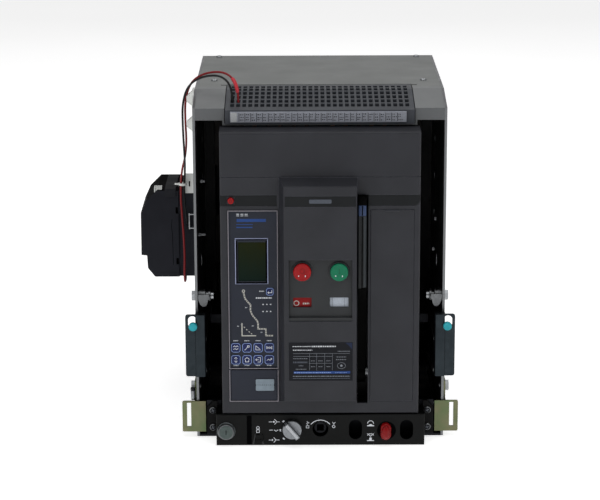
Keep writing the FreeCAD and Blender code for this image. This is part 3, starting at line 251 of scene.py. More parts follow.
def painted(name, web, rough=0.42, edge_wear_and_glint_colour="#8d8f90", front=None):
    """Powder-coated steel: orange-peel relief, thin bright edges that are part wear and part painted highlight,
    and painted shade on faces turned to the front.
    """
    made = Finish(name, rough, 0.0, 0.0, 0.35)
    body = made.mix(made.spread(made.noise(90), 0, 1), rgb(web, 0.95), rgb(web, 1.05))
    # Painted shade: faces turned to the front get the darker front colour.
    if front:
        body = made.mix(made.faces_front(), body, rgb(front))
    # Bright edges: part wear, part painted highlight along the edges.
    mask = made.soft_edges(0.5)
    edge_wear_and_glint_mask = made.times(mask, made.spread(made.noise(2.6, detail=5), 0, 0.8, 0.5, 0.66))
    made.colour(made.mix(edge_wear_and_glint_mask, body, rgb(edge_wear_and_glint_colour)))
    made.uneven_gloss(30, 0.06)
    made.relief(made.noise(0.9, detail=2), 0.05, 0.5)
    return made.material


def steel(name, web, rough=0.36, spangle=6.0, stretch=(1, 1, 1), bright=None, second=None):
    """Sheet metal: spangle, rolling lines, smudges, polished edges, and bare cut faces to the front."""
    made = Finish(name, rough, 1.0)
    cells = made.add("ShaderNodeTexVoronoi")
    cells.inputs["Scale"].default_value = 1 / (spangle * MM)
    made.link(made.place, cells.inputs["Vector"])
    grey = made.add("ShaderNodeRGBToBW")
    made.link(cells.outputs["Color"], grey.inputs[0])
    body = made.mix(grey.outputs[0], rgb(web, 0.86), rgb(web, 1.14))
    body = made.mix(made.spread(made.noise(45, detail=5), 0, 0.5), body, rgb(web, 0.7))
    if second:
        body = made.mix(made.spread(made.noise(16), 0, 0.9), body, rgb(second))
    mask = made.soft_edges(0.35)
    body = made.mix(made.times(mask, made.spread(made.noise(4), 0.3, 0.9)), body, rgb(web, 1.5))
    if bright:
        body = made.mix(made.faces_front(), body, rgb(bright))
    made.colour(body)
    made.uneven_gloss(16, 0.08, stretch)
    made.relief(made.noise(1.2, stretch, 4), 0.03, 0.35)
    return made.material


def glossy(name, web, rough=0.2, coat=0.05, drift=0.12):
    """Smooth bright plastic such as a button or a lens."""
    made = Finish(name, rough, 0.0, coat, 0.16)
    body = made.mix(made.spread(made.noise(6), 0, 1), rgb(web, 1 - drift), rgb(web, 1 + drift))
    # Lighter rims: part wear, part painted highlight along the edges.
    mask = made.soft_edges(0.4)
    made.colour(made.mix(made.times(mask, made.spread(made.noise(3), 0.2, 0.7)), body, rgb(web, 1.7)))
    made.uneven_gloss(9, 0.05)
    made.relief(made.noise(1.4), 0.012, 0.4)
    return made.material


def ink(name, web, rough=0.55, specular=0.2):
    """Screen-printed ink or a printed foil: slightly uneven cover."""
    made = Finish(name, rough, 0.0, 0.0, specular)
    made.colour(made.mix(made.spread(made.noise(1.1, detail=5), 0, 1), rgb(web, 0.84), rgb(web, 1.08)))
    made.uneven_gloss(4, 0.06)
    made.relief(made.noise(0.25), 0.008, 0.5)
    return made.material


def liquid_crystal(name, top, bottom, low, high):
    """A dark display whose tint runs from the bottom to the top of the glass."""
    made = Finish(name, 0.22, 0.0, 0.0, 0.04)
    height = made.spread(made.axis(made.place, "Z"), 0.0, 1.0, low * MM, high * MM)
    body = made.mix(height, rgb(bottom), rgb(top))
    haze = made.spread(made.noise(9, (1, 1, 0.5)), 0, 0.35)
    made.colour(made.mix(haze, body, rgb(bottom, 1.6)))
    made.uneven_gloss(14, 0.03)
    made.relief(made.noise(0.6), 0.004, 0.3)
    return made.material


LOOKS = {
    "side_steel": steel("rolled_side_steel", "#77787b", 0.38, 5, (1, 1, 0.08), "#77797b"),
    "top_steel": painted("painted_top_steel", "#747675", 0.55),
    # The hood's front flange is painted darker as shade.
    "hood_steel": painted("painted_hood_steel", "#737576", 0.52, front="#5b5d5f"),
    "zinc_steel": steel("zinc_plated_steel", "#a3a6a9", 0.34, 3),
    "zinc_bracket": steel("passivated_bracket", "#77725a", 0.38, 7, (1, 1, 0.2), second="#5b6c4c"),
    "roller_steel": steel("roller_steel", "#6d6f71", 0.34, 2),
    "copper": steel("silvered_copper", "#c98f6a", 0.28, 9, (1, 0.1, 1)),
    "insulator": moulded("insulator_moulding", "#1c1d20", 0.5, 0.5),
    "case_plastic": moulded("case_moulding", "#1d1e20", 0.5, 0.4),
    # Strongly lightened edges on the cover and chute: painted highlight on the rounded edges, with some wear.
    "cover_plastic": moulded("cover_moulding", "#28292e", 0.46, 0.35, edge=0.8, rub_and_highlight=3.8),
    "chute_plastic": moulded("chute_moulding", "#28292e", 0.5, 0.4, edge=0.8, rub_and_highlight=4.2),
    # Painted shade: the base panel turns near black within its holes.
    "base_plastic": moulded("base_moulding", "#0b0c0c", 0.46, 0.35, 0.03, specular=0.12, painted_shade_depth=-159),
    "bezel_plastic": moulded("bezel_moulding", "#2a2c2e", 0.44, 0.3, 0.02, rub_and_highlight=2.4),
    "trip_plastic": moulded("trip_panel_foil", "#1a1f2c", 0.38, 0.25, 0.012),
    "key_plastic": glossy("key_foil", "#17214e", 0.32, 0.05),
    "screen": liquid_crystal("display_glass", "#202208", "#0b1a15", 173, 213),
    "red_plastic": glossy("red_plastic", "#8f0c10"),
    "green_plastic": glossy("green_plastic", "#0a6a4a"),
    "cyan_plastic": glossy("cyan_plastic", "#2a9aa6", 0.25),
    "silver_plastic": steel("silvered_plastic", "#8b8e92", 0.34, 3, (1, 1, 0.15)),
    "flag_plastic": glossy("red_flag", "#800b0d", 0.4, 0.0),
    "flag_white": ink("white_flag", "#b0b8c3", 0.4),
    "plate_print": glossy("plate_foil", "#0b0d14", 0.34, 0.0, 0.2),
    "rail_steel": steel("rail_steel", "#30363a", 0.4, 5, (1, 0.1, 1)),
    "terminal_plastic": moulded("terminal_moulding", "#3a3d43", 0.46, 0.3),
    "label_plastic": ink("label_strip", "#8a8d96"),
    # The relay cover and strap are painted darker on their top faces as shade.
    "relay_plastic": moulded("relay_moulding", "#28292e", 0.75, 0.3, specular=0.02, top="#060607"),
    "strap_plastic": moulded("strap_moulding", "#26272b", 0.6, 0.3, specular=0.06, top="#1b1c1f"),
    "nylon": moulded("white_nylon", "#d9dbd8", 0.42, 0.5, 0.02, 0.3, 1.0),
    "wire_red": moulded("red_insulation", "#7a1216", 0.36, 0.6, 0.012, 0.2, 1.1),
    "wire_black": moulded("black_insulation", "#0d0d0f", 0.36, 0.6, 0.012, 0.2, 1.3),
    "arc_steel": steel("arc_plate_steel", "#7a7672", 0.4, 4),
    "shutter_plastic": moulded("shutter_moulding", "#2a2522", 0.48, 0.4),
}
WHITE = ink("white_ink", "#d8dce2")
PALE = ink("pale_blue_ink", "#8fa6d8")
CREAM = ink("cream_ink", "#b9b8b2")
BLUE = ink("blue_ink", "#24437f")
LABEL_BLUE = ink("label_blue", "#3a4969")
BLACK = ink("black_ink", "#020203", 0.6, 0.02)
# Painted highlight on the crest of the position knob's bar.
RIDGE_HIGHLIGHT = ink("painted_ridge_highlight", "#b9bcc0", 0.35)
YELLOW = ink("yellow_flag", "#a8801c", 0.4)
RELEASE_RED = glossy("release_red", "#7c0b0e", 0.22)
ACCENT = moulded("accent_band", "#17191b", 0.4, 0.3, 0.02, specular=0.15)
DEEP_BLACK = moulded("deep_black", "#030303", 0.5, 0.4, 0.02, specular=0.03)
LEVER_DARK = moulded("lever_dark", "#1f2123", 0.38, 0.3, 0.02)
LEVER_LIGHT = moulded("lever_light", "#2f3438", 0.38, 0.3, 0.02)
DIM = ink("dim_print", "#7f848c")
FAINT = ink("faint_print", "#4d525b")
NIGHT_BLUE = ink("night_blue", "#1b2540")
RED_MARK = ink("red_engraving", "#5e0a0c")
GREEN_MARK = ink("green_engraving", "#084a33")
TAN = ink("rim_ink", "#868288", 0.5)
DARK_STEEL = steel("blackened_steel", "#26272a", 0.45, 4)
LAVENDER = ink("lavender_ink", "#8d94b2", 0.45)
PAD = glossy("pad_foil", "#7c8993", 0.35, 0.1)
LOCK_FACE = glossy("lock_face", "#4a5553", 0.2, 0.1)
LOCK_RING = steel("lock_ring_steel", "#6c7173", 0.3, 2)
DULL_WHITE = ink("dull_white", "#a9abad")
SLEEVE = moulded("sleeve_plastic", "#b5303a", 0.35, 0.6, 0.01, 0.2, 1.1)

OTHER_LOOKS = {
    "slide_feet": DARK_STEEL,
    "floor_plate": DARK_STEEL,
    "lead_screw": DARK_STEEL,
    "charging_handle": DEEP_BLACK,
    "release_button": RELEASE_RED,
}
for node, cad in frame["nodes"].items():
    for held in cad.material_slots:
        held.material = OTHER_LOOKS.get(node, LOOKS[NODE_SLOT[node]])


# ---------------------------------------------------------------- mesh helpers
def publish(mesh, name, body, look, smooth=None):
    """A finished piece from a bmesh given in millimetres."""
    bmesh.ops.remove_doubles(mesh, verts=mesh.verts, dist=1e-5)
    bmesh.ops.recalc_face_normals(mesh, faces=mesh.faces)
    bmesh.ops.scale(mesh, vec=(MM, MM, MM), verts=mesh.verts)
    data = bpy.data.meshes.new(name)
    mesh.to_mesh(data)
    mesh.free()
    piece = bpy.data.objects.new(name, data)
    bpy.context.scene.collection.objects.link(piece)
    data.materials.append(look)
    if smooth:
        data.shade_smooth()
        data.set_sharp_from_angle(angle=math.radians(smooth))
    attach(piece, body)
    return piece


def prism(mesh, outline, back, front):
    """A flat shape in X and Z given thickness along Y."""
    rings = [[mesh.verts.new((x, y, z)) for x, z in outline] for y in (back, front)]
    mesh.faces.new(rings[0])
    mesh.faces.new(rings[1][::-1])
    count = len(outline)
    for i in range(count):
        j = (i + 1) % count
        mesh.faces.new((rings[0][i], rings[0][j], rings[1][j], rings[1][i]))


def rounded_box(mesh, x, y, z, radius=0.0, segments=2):
    """A box between two planes on each axis, with rounded edges."""
    made = bmesh.ops.create_cube(mesh, size=1)["verts"]
    centre = Vector(((x[0] + x[1]) / 2, (y[0] + y[1]) / 2, (z[0] + z[1]) / 2))
    size = Vector((x[1] - x[0], y[1] - y[0], z[1] - z[0]))
    for vert in made:
        vert.co = Vector(c * s for c, s in zip(vert.co, size)) + centre
    if radius:
        edges = list({edge for vert in made for edge in vert.link_edges})
        bmesh.ops.bevel(mesh, geom=edges, offset=radius, segments=segments, affect="EDGES", profile=0.5)


AXES = {
    "X": Matrix(((0, 0, 1), (1, 0, 0), (0, 1, 0))),
    "Y": Matrix(((1, 0, 0), (0, 0, 1), (0, 1, 0))),
    "Z": Matrix.Identity(3),
}


def lathe(mesh, axis, centre, profile, sides=28, caps=True):
    """A turned shape: (radius, distance along the axis) pairs about a line through a centre."""
    turn = AXES[axis]
    rings = []
    for radius, along in profile:
        ring = []
        for i in range(sides if radius > 1e-6 else 1):
            angle = 2 * math.pi * i / sides
            local = Vector((radius * math.cos(angle), radius * math.sin(angle), along))
            ring.append(mesh.verts.new(turn @ local + Vector(centre)))
        rings.append(ring)
    for first, second in zip(rings, rings[1:]):
        for i in range(sides):
            j = (i + 1) % sides
            around = [first[i % len(first)], first[j % len(first)]]
            around += [second[j % len(second)], second[i % len(second)]]
            around = list(dict.fromkeys(around))
            if len(around) > 2:
                mesh.faces.new(around)
    for ring in (rings[0], rings[-1]):
        if caps and len(ring) > 1:
            mesh.faces.new(ring)


class Front:
    """The front of a CAD node, found by looking at it along Y."""

    trees = {}

    def __init__(self, node):
        if node not in self.trees:
            data = frame["nodes"][node].data
            points = [vert.co for vert in data.vertices]
            self.trees[node] = BVHTree.FromPolygons(points, [face.vertices for face in data.polygons])
        self.tree = self.trees[node]
        self.lowest = corners(node)[0].y

    def __call__(self, x, z):
        hit = self.tree.ray_cast(at(x, -400, z), Vector((0, 1, 0)))[0]
        return hit.y / MM if hit else self.lowest


class Print:
    """Thin raised marks of one ink on the front of a CAD node."""

    def __init__(self, name, node, look, slot=None, proud=0.09, face=None):
        self.name = name
        self.node = node
        self.look = look
        self.slot = slot or NODE_SLOT[node]
        self.proud = proud
        self.front = Front(node) if face is None else lambda x, z: face
        self.mesh = bmesh.new()

    def shape(self, *outline):
        """A flat shape that stands on the surface under its middle."""
        x = sum(point[0] for point in outline) / len(outline)
        z = sum(point[1] for point in outline) / len(outline)
        y = self.front(x, z)
        prism(self.mesh, outline, y + 0.03, y - self.proud)
        return self

    def box(self, x0, z0, x1, z1):
        return self.shape((x0, z0), (x1, z0), (x1, z1), (x0, z1))

    def plate(self, x0, z0, x1, z1, wide=0.8, tall=0.7):
        """A rectangle whose corners are cut off."""
        low = ((x0, z0 + tall), (x0 + wide, z0), (x1 - wide, z0), (x1, z0 + tall))
        return self.shape(*low, (x1, z1 - tall), (x1 - wide, z1), (x0 + wide, z1), (x0, z1 - tall))

    def outline(self, x0, z0, x1, z1, width):
        """A rectangular frame, as four strips."""
        self.box(x0, z0, x1, z0 + width).box(x0, z1 - width, x1, z1)
        return self.box(x0, z0 + width, x0 + width, z1 - width).box(x1 - width, z0 + width, x1, z1 - width)

    def line(self, width, *points):
        """A ribbon along points, with mitred corners."""
        path = [Vector(point) for point in points]
        left, right = [], []
        for i, point in enumerate(path):
            before = (point - path[i - 1]).normalized() if i else (path[1] - point).normalized()
            after = (path[i + 1] - point).normalized() if i + 1 < len(path) else before
            middle = (before + after).normalized()
            side = Vector((-middle.y, middle.x)) * (width / 2 / max(0.4, middle.dot(after)))
            left.append(tuple(point + side))
            right.append(tuple(point - side))
        for i in range(len(path) - 1):
            self.shape(left[i], left[i + 1], right[i + 1], right[i])
        return self

    def disc(self, x, z, radius, sides=20):
        turns = [2 * math.pi * i / sides for i in range(sides)]
        return self.shape(*[(x + radius * math.cos(a), z + radius * math.sin(a)) for a in turns])

    def arc(self, x, z, radius, width, start=0, end=360, squeeze=1.0):
        """Part of a ring, from one angle in degrees to another."""
        steps = max(3, int(abs(end - start) / 15))
        angles = [math.radians(start + (end - start) * i / steps) for i in range(steps + 1)]
        points = [(x + radius * math.cos(a), z + radius * squeeze * math.sin(a)) for a in angles]
        return self.line(width, *points)

    def dashes(self, x0, x1, z, height, word=2.2, gap=0.5):
        """A row of small marks where the object has a line of small print."""
        x = x0
        while x < x1 - 0.2:
            length = min(word * DICE.uniform(0.5, 1.3), x1 - x)
            self.box(x, z - height / 2, x + length, z + height / 2)
            x += length + gap
        return self

    def between(self, inner, outer):
        """A band between two closed outlines with as many points."""
        for i in range(len(inner)):
            j = (i + 1) % len(inner)
            self.shape(inner[i], inner[j], outer[j], outer[i])
        return self

    def done(self):
        body = body_of(frame["nodes"][self.node])[0]
        return publish(self.mesh, self.name, body, self.look)


# ---------------------------------------------------------------- trip unit
KEY_START = Vector((-84.8, 103.7))
KEY_PITCH = Vector((11.2, -12.6))
KEY_HALF = Vector((4.7, 4.9))
ENTER_HALF = Vector((3.8, 4.0))
KEYS = [(KEY_START.x + KEY_PITCH.x * c, KEY_START.y + KEY_PITCH.y * r) for r in range(2) for c in range(4)]
ENTER_KEY = (-50.2, 162)
trip_low, trip_high = corners("trip_unit")
hatch_low = corners("trip_hatch")[0]

rim = Print("trip_rim", "trip_unit", TAN, proud=0.12)
rim.outline(trip_low.x + 0.1, 81.8, trip_high.x - 0.1, trip_high.z - 0.1, 0.75)
rim.outline(trip_low.x + 0.1, trip_low.z + 0.1, trip_high.x - 0.1, 81.4, 0.75)
rim.done()
frame_print = Print("screen_rim", "trip_unit", LAVENDER, proud=0.12)
frame_print.outline(-84.6, 169.8, -51.7, 217.0, 0.85)
frame_print.done()
border = Print("screen_border", "trip_unit", BLACK, proud=0.1)
border.outline(-83.75, 170.65, -52.55, 216.15, 1.6)
border.done()

blue = Print("trip_blue_bars", "trip_unit", BLUE)
blue.box(-82.6, 233.6, -53.8, 236.6)
blue.done()

pale = Print("trip_pale_lines", "trip_unit", BLUE)
pale.box(-83, 230.6, -66.6, 231.3).box(-83, 227.4, -67.0, 228.6)
pale.done()

marks = Print("trip_white_marks", "trip_unit", WHITE)
for step in range(3):
    x = -83 + step * 4.2
    marks.box(x, 241.1, x + 3.0, 241.7).box(x, 239.5, x + 3.0, 240.0)
marks.dashes(-64.2, -48.3, 155.4, 1.3, 1.7, 0.6)
for row in range(2):
    for x in (-57.8, -54.0, -50.3):
        marks.box(x, 148.2 - row * 7.3, x + 1.3, 149.2 - row * 7.3)
marks.dashes(-60.8, -56.2, 162.4, 1.0, 1.2, 0.6)
for x0, x1, z in ((-74.9, -73.2, 145.5), (-83.1, -81.6, 126.1), (-68.4, -66.6, 126.4), (-59.6, -58.2, 119.7)):
    marks.dashes(x0, x1, z, 0.8, 0.7)
for x, _ in KEYS[:4]:
    marks.dashes(x - 2.4, x + 2.4, 110.9, 0.8, 1.1, 0.5).dashes(x - 2.4, x + 2.4, 84.9, 0.7, 1.1, 0.5)
marks.done()

LAMPS = (
    (-76.6, 162.2),
    (-75.2, 155.0),
    (-72.6, 151.6),
    (-69.6, 148.4),
    (-69.9, 142.5),
    (-68.0, 137.6),
    (-63.4, 132.0),
    (-62.2, 129.4),
    (-62.3, 123.3),
    (-54.5, 123.2),
    (-54.4, 116.2),
    (-47.4, 116.1),
)
curve = Print("trip_curve", "trip_unit", CREAM)
curve.line(1.4, *LAMPS).arc(-76.6, 162.6, 1.2, 0.7)
curve.line(1.0, (-78.4, 128.6), (-78.4, 116.1), (-64.3, 116.1))
curve.shape((-79.4, 128.0), (-77.4, 128.0), (-78.4, 129.9))
for x, z in ((-76.6, 125.4), (-74.2, 122.9), (-71.8, 120.6), (-69.4, 118.7)):
    curve.line(0.8, (x, z), (x + 1.1, z - 0.9))
curve.done()
lamps = bmesh.new()
trip_front = Front("trip_unit")
LAMP_PITCH = 2.7
LAMP_PROFILE = ((0.5, 0.05), (0.5, -0.2), (0.36, -0.32), (0, -0.36))
for start, end in zip(LAMPS, LAMPS[1:]):
    run = Vector(end) - Vector(start)
    count = max(1, round(run.length / LAMP_PITCH))
    for step in range(count):
        x, z = Vector(start) + run * step / count
        lathe(lamps, "Y", (x, trip_front(x, z), z), LAMP_PROFILE, 10)
publish(lamps, "trip_lamps", "breaker", LOOKS["bezel_plastic"], 40)

keys = Print("key_outlines", "trip_keys", PALE, proud=0.06)
icons = Print("key_icons", "trip_keys", WHITE, proud=0.06)
for x, z in KEYS + [ENTER_KEY]:
    half = ENTER_HALF if (x, z) == ENTER_KEY else KEY_HALF
    wide, tall, cut = half.x - 0.35, half.y - 0.35, 1.5
    ring = [(x - wide + cut, z - tall), (x + wide - cut, z - tall), (x + wide, z - tall + cut)]
    ring += [(x + wide, z + tall - cut), (x + wide - cut, z + tall), (x - wide + cut, z + tall)]
    ring += [(x - wide, z + tall - cut), (x - wide, z - tall + cut)]
    keys.line(0.42, *ring, ring[0])
KEY_ICONS = (
    (
        ((-2.6, 0.9), (-1.3, 2.1), (0, 0.9), (1.3, 2.1), (2.6, 0.9)),
        ((-2.4, -1.9), (-0.8, -0.6), (0.8, -1.9), (2.4, -0.6)),
    ),
    (((-2.3, -2.4), (0.6, 0.6), (0.6, 2.2), (2.2, 2.2), (2.2, 0.6), (0.6, 0.6)),),
    (((-2.3, 2.3), (-2.3, -2.3), (2.5, -2.3)), ((-1.8, 1.8), (1.9, -1.6))),
    (((-2.6, -1.3), (-2.6, 1.3), (0, -0.9), (2.6, 1.3), (2.6, -1.3), (0, 0.9), (-2.6, -1.3)),),
    (((-1.4, 1.1), (0, 2.6), (1.4, 1.1)), ((-1.4, -1.1), (0, -2.6), (1.4, -1.1)), ((-0.5, 0), (0.5, 0))),
    (((-2.4, 0.4), (0, 2.4), (2.4, 0.4)), ((-1.6, -0.2), (-1.6, -2.2), (1.6, -2.2), (1.6, -0.2))),
    (
        ((-0.6, 2.4), (2.2, 2.4), (2.2, -2.4), (-0.6, -2.4)),
        ((-2.6, 0), (0.6, 0)),
        ((-1.4, 1.2), (-2.6, 0), (-1.4, -1.2)),
    ),
    (((-2.6, -0.8), (-0.8, 0.6), (0.6, -0.6), (2.5, 1.3)), ((1.2, 1.5), (2.5, 1.3), (2.4, 0.0))),
)
for (x, z), strokes in zip(KEYS, KEY_ICONS):
    for stroke in strokes:
        icons.line(0.5, *[(x + dx, z + dz) for dx, dz in stroke])
x, z = ENTER_KEY
icons.line(0.65, (x + 1.9, z + 1.7), (x + 1.9, z - 0.9), (x - 1.9, z - 0.9))
icons.shape((x - 2.6, z - 0.9), (x - 1.0, z + 0.5), (x - 1.0, z - 2.3))
keys.done()
icons.done()

pad = Print("hatch_pad", "trip_hatch", PAD, proud=0.12, face=hatch_low.y)
pad.plate(-65.0, 58.9, -46.5, 71.1)
pad.done()
pad_lines = Print("hatch_pad_lines", "trip_hatch", BLACK, proud=0.2, face=hatch_low.y)
pad_lines.dashes(-63.2, -48.4, 65.0, 0.45, 1.6, 0.8)
pad_lines.shape((-65.3, 64.1), (-64.3, 65.0), (-65.3, 65.9))
pad_lines.shape((-46.2, 64.1), (-47.2, 65.0), (-46.2, 65.9))
pad_lines.done()

reset_low, reset_high = corners("reset_button")
ring = Print("reset_ring", "reset_button", RED_MARK, proud=0.05)
ring.arc((reset_low.x + reset_high.x) / 2, (reset_low.z + reset_high.z) / 2, 1.3, 0.5).done()

# ---------------------------------------------------------------- control panel
for name, mark, look in (("off", "off_button", RED_MARK), ("on", "on_button", GREEN_MARK)):
    low_corner, high_corner = corners(mark)
    x, z = (low_corner.x + high_corner.x) / 2, (low_corner.z + high_corner.z) / 2
    sign = Print(name + "_sign", mark, look, proud=0.05)
    if name == "off":
        sign.arc(x, z + 1.5, 2.1, 0.5, squeeze=1.25)
    else:
        sign.box(x - 0.3, z - 1.2, x + 0.3, z + 4.2)
    sign.done()
    words = Print(name + "_marks", mark, WHITE, proud=0.06)
    words.box(x - 4.0, z - 4.0, x - 3.0, z - 2.8).box(x + 2.7, z - 4.4, x + 3.6, z - 2.8)
    words.done()

red_flag = Print("contact_flag_marks", "contact_flag", CREAM, proud=0.07)
red_flag.arc(-23.8, 153.2, 2.5, 0.8, squeeze=0.95)
red_flag.dashes(-17.4, -11.2, 152.8, 1.7, 1.3, 0.6)
red_flag.done()
closed_flag = Print("closed_flag_face", "contact_flag", LOOKS["green_plastic"], "green_plastic", 0.07)
closed_flag.box(-28.2, 160.2, -7.7, 171.8)
closed_flag.done()
closed_mark = Print("closed_flag_mark", "contact_flag", CREAM, proud=0.12)
closed_mark.box(-24.2, 163.2, -23.4, 168.2).dashes(-17.4, -11.2, 164.4, 1.7, 1.3, 0.6)
closed_mark.done()
white_flag = Print("charge_flag_face", "charge_flag", LOOKS["flag_white"], slot="flag_white", proud=0.12)
white_flag.box(9.0, 148.6, 28.2, 160.2)
white_flag.done()
charged_flag = Print("charged_flag_face", "charge_flag", YELLOW, slot="flag_plastic", proud=0.12)
charged_flag.box(9.0, 160.3, 28.2, 171.8)
charged_flag.done()
charged_mark = Print("charged_flag_mark", "charge_flag", BLACK, proud=0.18)
charged_mark.line(0.6, (12.6, 164), (14, 168), (16, 163.4), (18, 168), (20, 163.4), (22, 168), (23.4, 164))
charged_mark.done()
spring_mark = Print("charge_flag_marks", "charge_flag", FAINT, proud=0.16)
spring_mark.box(12.0, 149.0, 12.3, 160.2).box(23.6, 149.0, 23.9, 160.2)
spring_mark.done()

# ---------------------------------------------------------------- front cover
band = Print("accent_bands", "front_cover", ACCENT, slot="bezel_plastic", proud=0.22)
band.box(-98.7, 249.6, -92.2, 260.6).box(-84.2, 249.6, -42.7, 260.6)
band.box(-92.2, 249.6, -84.2, 251.6).box(-92.2, 259.2, -84.2, 260.6)
band.shape((47.6, 249.6), (93.5, 249.6), (96.5, 251.2), (98.7, 254.5), (98.7, 260.6), (47.6, 260.6))
band.box(-34.8, 252.9, 34.8, 263.4)
band.done()
badge = Print("blank_badge", "front_cover", FAINT, slot="bezel_plastic", proud=0.4)
badge.plate(-11, 256.2, 11, 260.2)
badge.done()

# ---------------------------------------------------------------- nameplate
plate = Print("plate_lines", "nameplate", DIM, proud=0.05)
plate.box(-27.2, 102.8, 29.0, 103.05).box(-27.2, 99.8, 11.9, 100.05).box(-11.5, 92.6, 11.9, 92.85)
for x in (-11.0, -4.0, 4.0, 11.7):
    plate.box(x, 85.4, x + 0.22, 103.0)
plate.arc(20.8, 90.2, 4.0, 0.3, squeeze=0.8).disc(20.8, 90.2, 1.2, 12)
plate.dashes(-27.3, -12.8, 97.6, 0.55, 1.3, 0.5).dashes(-21.6, -17.2, 90.2, 0.6, 1.0, 0.5)
plate.dashes(-24.7, -14.2, 86.6, 0.6, 1.2, 0.5)
for z in (95.3, 89.2):
    for x in (-9.6, -2.2, 5.6):
        plate.dashes(x, x + 4.2, z, 0.6, 1.0, 0.4)
plate.dashes(16.0, 25.6, 99.3, 0.6, 1.2, 0.5).dashes(15.4, 25.9, 96.5, 0.6, 1.2, 0.5)
plate.dashes(17.2, 29.2, 105.2, 0.8, 1.0, 0.5).dashes(-27.6, 29.2, 79.2, 0.75, 1.5, 0.5)
plate.done()
faint = Print("plate_faint_marks", "nameplate", FAINT, proud=0.05)
faint.dashes(-27.3, -13.0, 93.8, 1.7, 1.2, 0.5).dashes(-27.6, 29.2, 77.0, 0.6, 3.0, 0.3).done()
words = Print("plate_titles", "nameplate", WHITE, proud=0.05)
words.dashes(-27.8, -9.0, 110.3, 0.8, 1.1, 0.7).dashes(-8.6, 15.1, 110.3, 1.3, 1.5, 0.7)
words.dashes(-27.5, -8.2, 106.5, 0.9, 1.0, 0.6).done()
stripe = Print("plate_stripe", "nameplate", BLUE, proud=0.04)
stripe.box(-26.7, 82.0, 29.5, 84.4).done()
corner = Print("plate_corner", "nameplate", NIGHT_BLUE, proud=0.04)
corner.shape((24.6, 114.0), (31.5, 114.0), (31.5, 107.2), (29.6, 109.4), (27.3, 111.9)).done()
segments = Print("plate_stripe_marks", "nameplate", PALE, proud=0.08)
segments.dashes(-26.2, 10.5, 83.0, 0.7, 1.5, 0.5).dashes(14.5, 26.5, 83.0, 0.4, 1.2, 0.6).done()

# ---------------------------------------------------------------- charging handle
HANDLE_X = (37.6, 45.6)
handle_front = Front("charging_handle")


def handle_band(name, look, z0, z1, proud, inset=0.0):
    """A sleeve on the front of the lever between two heights."""
    made = bmesh.new()
    x0, x1 = HANDLE_X[0] + inset, HANDLE_X[1] - inset
    lower, upper = handle_front(41.6, z0 + 0.2), handle_front(41.6, z1 - 0.2)
    rounded_box(made, (x0, x1), (min(lower, upper) - proud, max(lower, upper) + 0.6), (z0, z1), 0.25)
    return publish(made, name, "charging_handle", look, 40)


handle_band("handle_grip", DEEP_BLACK, 251.8, 260.2, 0.9, -0.05)
handle_band("handle_label", LABEL_BLUE, 240.9, 251.5, 0.3, 0.3)
handle_band("handle_label_mark", BLACK, 241.2, 251.2, 0.4, 3.4)


def lever_strip(name, look, x0, x1, low0, low1):
    """A raised strip along the lever, its lower end cut at a slant."""
    top = 240.6
    made = bmesh.new()
    outline = ((x0, low0), (x1, low1), (x1, top), (x0, top))
    outer = [made.verts.new((x, handle_front(x, z + 0.3) - 0.5, z)) for x, z in outline]
    inner = [made.verts.new((x, handle_front(x, z + 0.3) + 0.4, z)) for x, z in outline]
    made.faces.new(outer)
    made.faces.new(inner[::-1])
    for i in range(4):
        j = (i + 1) % 4
        made.faces.new((outer[i], outer[j], inner[j], inner[i]))
    return publish(made, name, "charging_handle", look)


LEVER_RIBS = (
    (37.9, 39.2, LEVER_DARK),
    (39.45, 40.7, LEVER_DARK),
    (41.9, 42.5, LEVER_DARK),
    (42.7, 44.7, LEVER_LIGHT),
    (44.9, 45.5, LEVER_LIGHT),
)
for number, (x0, x1, look) in enumerate(LEVER_RIBS):
    lever_strip(f"lever_rib_{number}", look, x0, x1, 166.4 + (x0 - 38) * 0.2, 166.4 + (x1 - 38) * 0.2)

# ---------------------------------------------------------------- racking panel
knob_low, knob_high = corners("position_knob")
base = Print("base_marks", "racking_panel", WHITE, proud=0.1)
for x, z, angle in ((-37.4, 25.6, 40), (-40.6, 16.2, 90), (-37.2, 7.2, -40)):
    step = Vector((math.cos(math.radians(angle)), math.sin(math.radians(angle)))) * 1.1
    base.line(1.5, (x - step.x, z - step.y), (x + step.x, z + step.y))
# disconnected and connected: a socket and a pin, on lines
base.line(0.55, (-52.2, 25.2), (-48.6, 25.2)).disc(-47.2, 25.2, 1.0, 8)
base.line(0.6, (-46.6, 28.0), (-44.0, 25.2), (-46.6, 22.4)).line(0.55, (-43.8, 25.2), (-41.2, 25.2))
base.line(0.55, (-52.4, 5.8), (-50.2, 5.8)).disc(-48.8, 5.8, 0.9, 8)
base.line(0.6, (-47.4, 8.4), (-45.0, 5.8), (-47.4, 3.2)).line(0.55, (-44.8, 5.8), (-41.4, 5.8))
# test: a line and an open hook
base.line(0.6, (-51.8, 16.4), (-48.4, 16.4)).line(0.6, (-47.0, 16.6), (-45.0, 15.2), (-42.6, 16.6))
# the crank's two ways round, with a sign at each end of the arc
base.arc(0, 14.4, 12.6, 0.75, 140, 40)
base.outline(-14.6, 18.3, -11.4, 21.2, 0.5).line(0.5, (-11.6, 24.8), (-12.2, 23.4))
base.line(0.5, (-13.0, 21.8), (-13.9, 23.2), (-12.6, 24.2), (-13.6, 25.6))
base.arc(13.4, 20.0, 1.3, 0.55).line(0.5, (12.0, 24.8), (13.6, 22.8), (15.0, 24.6))
base.line(0.5, (13.6, 22.6), (13.6, 21.4))
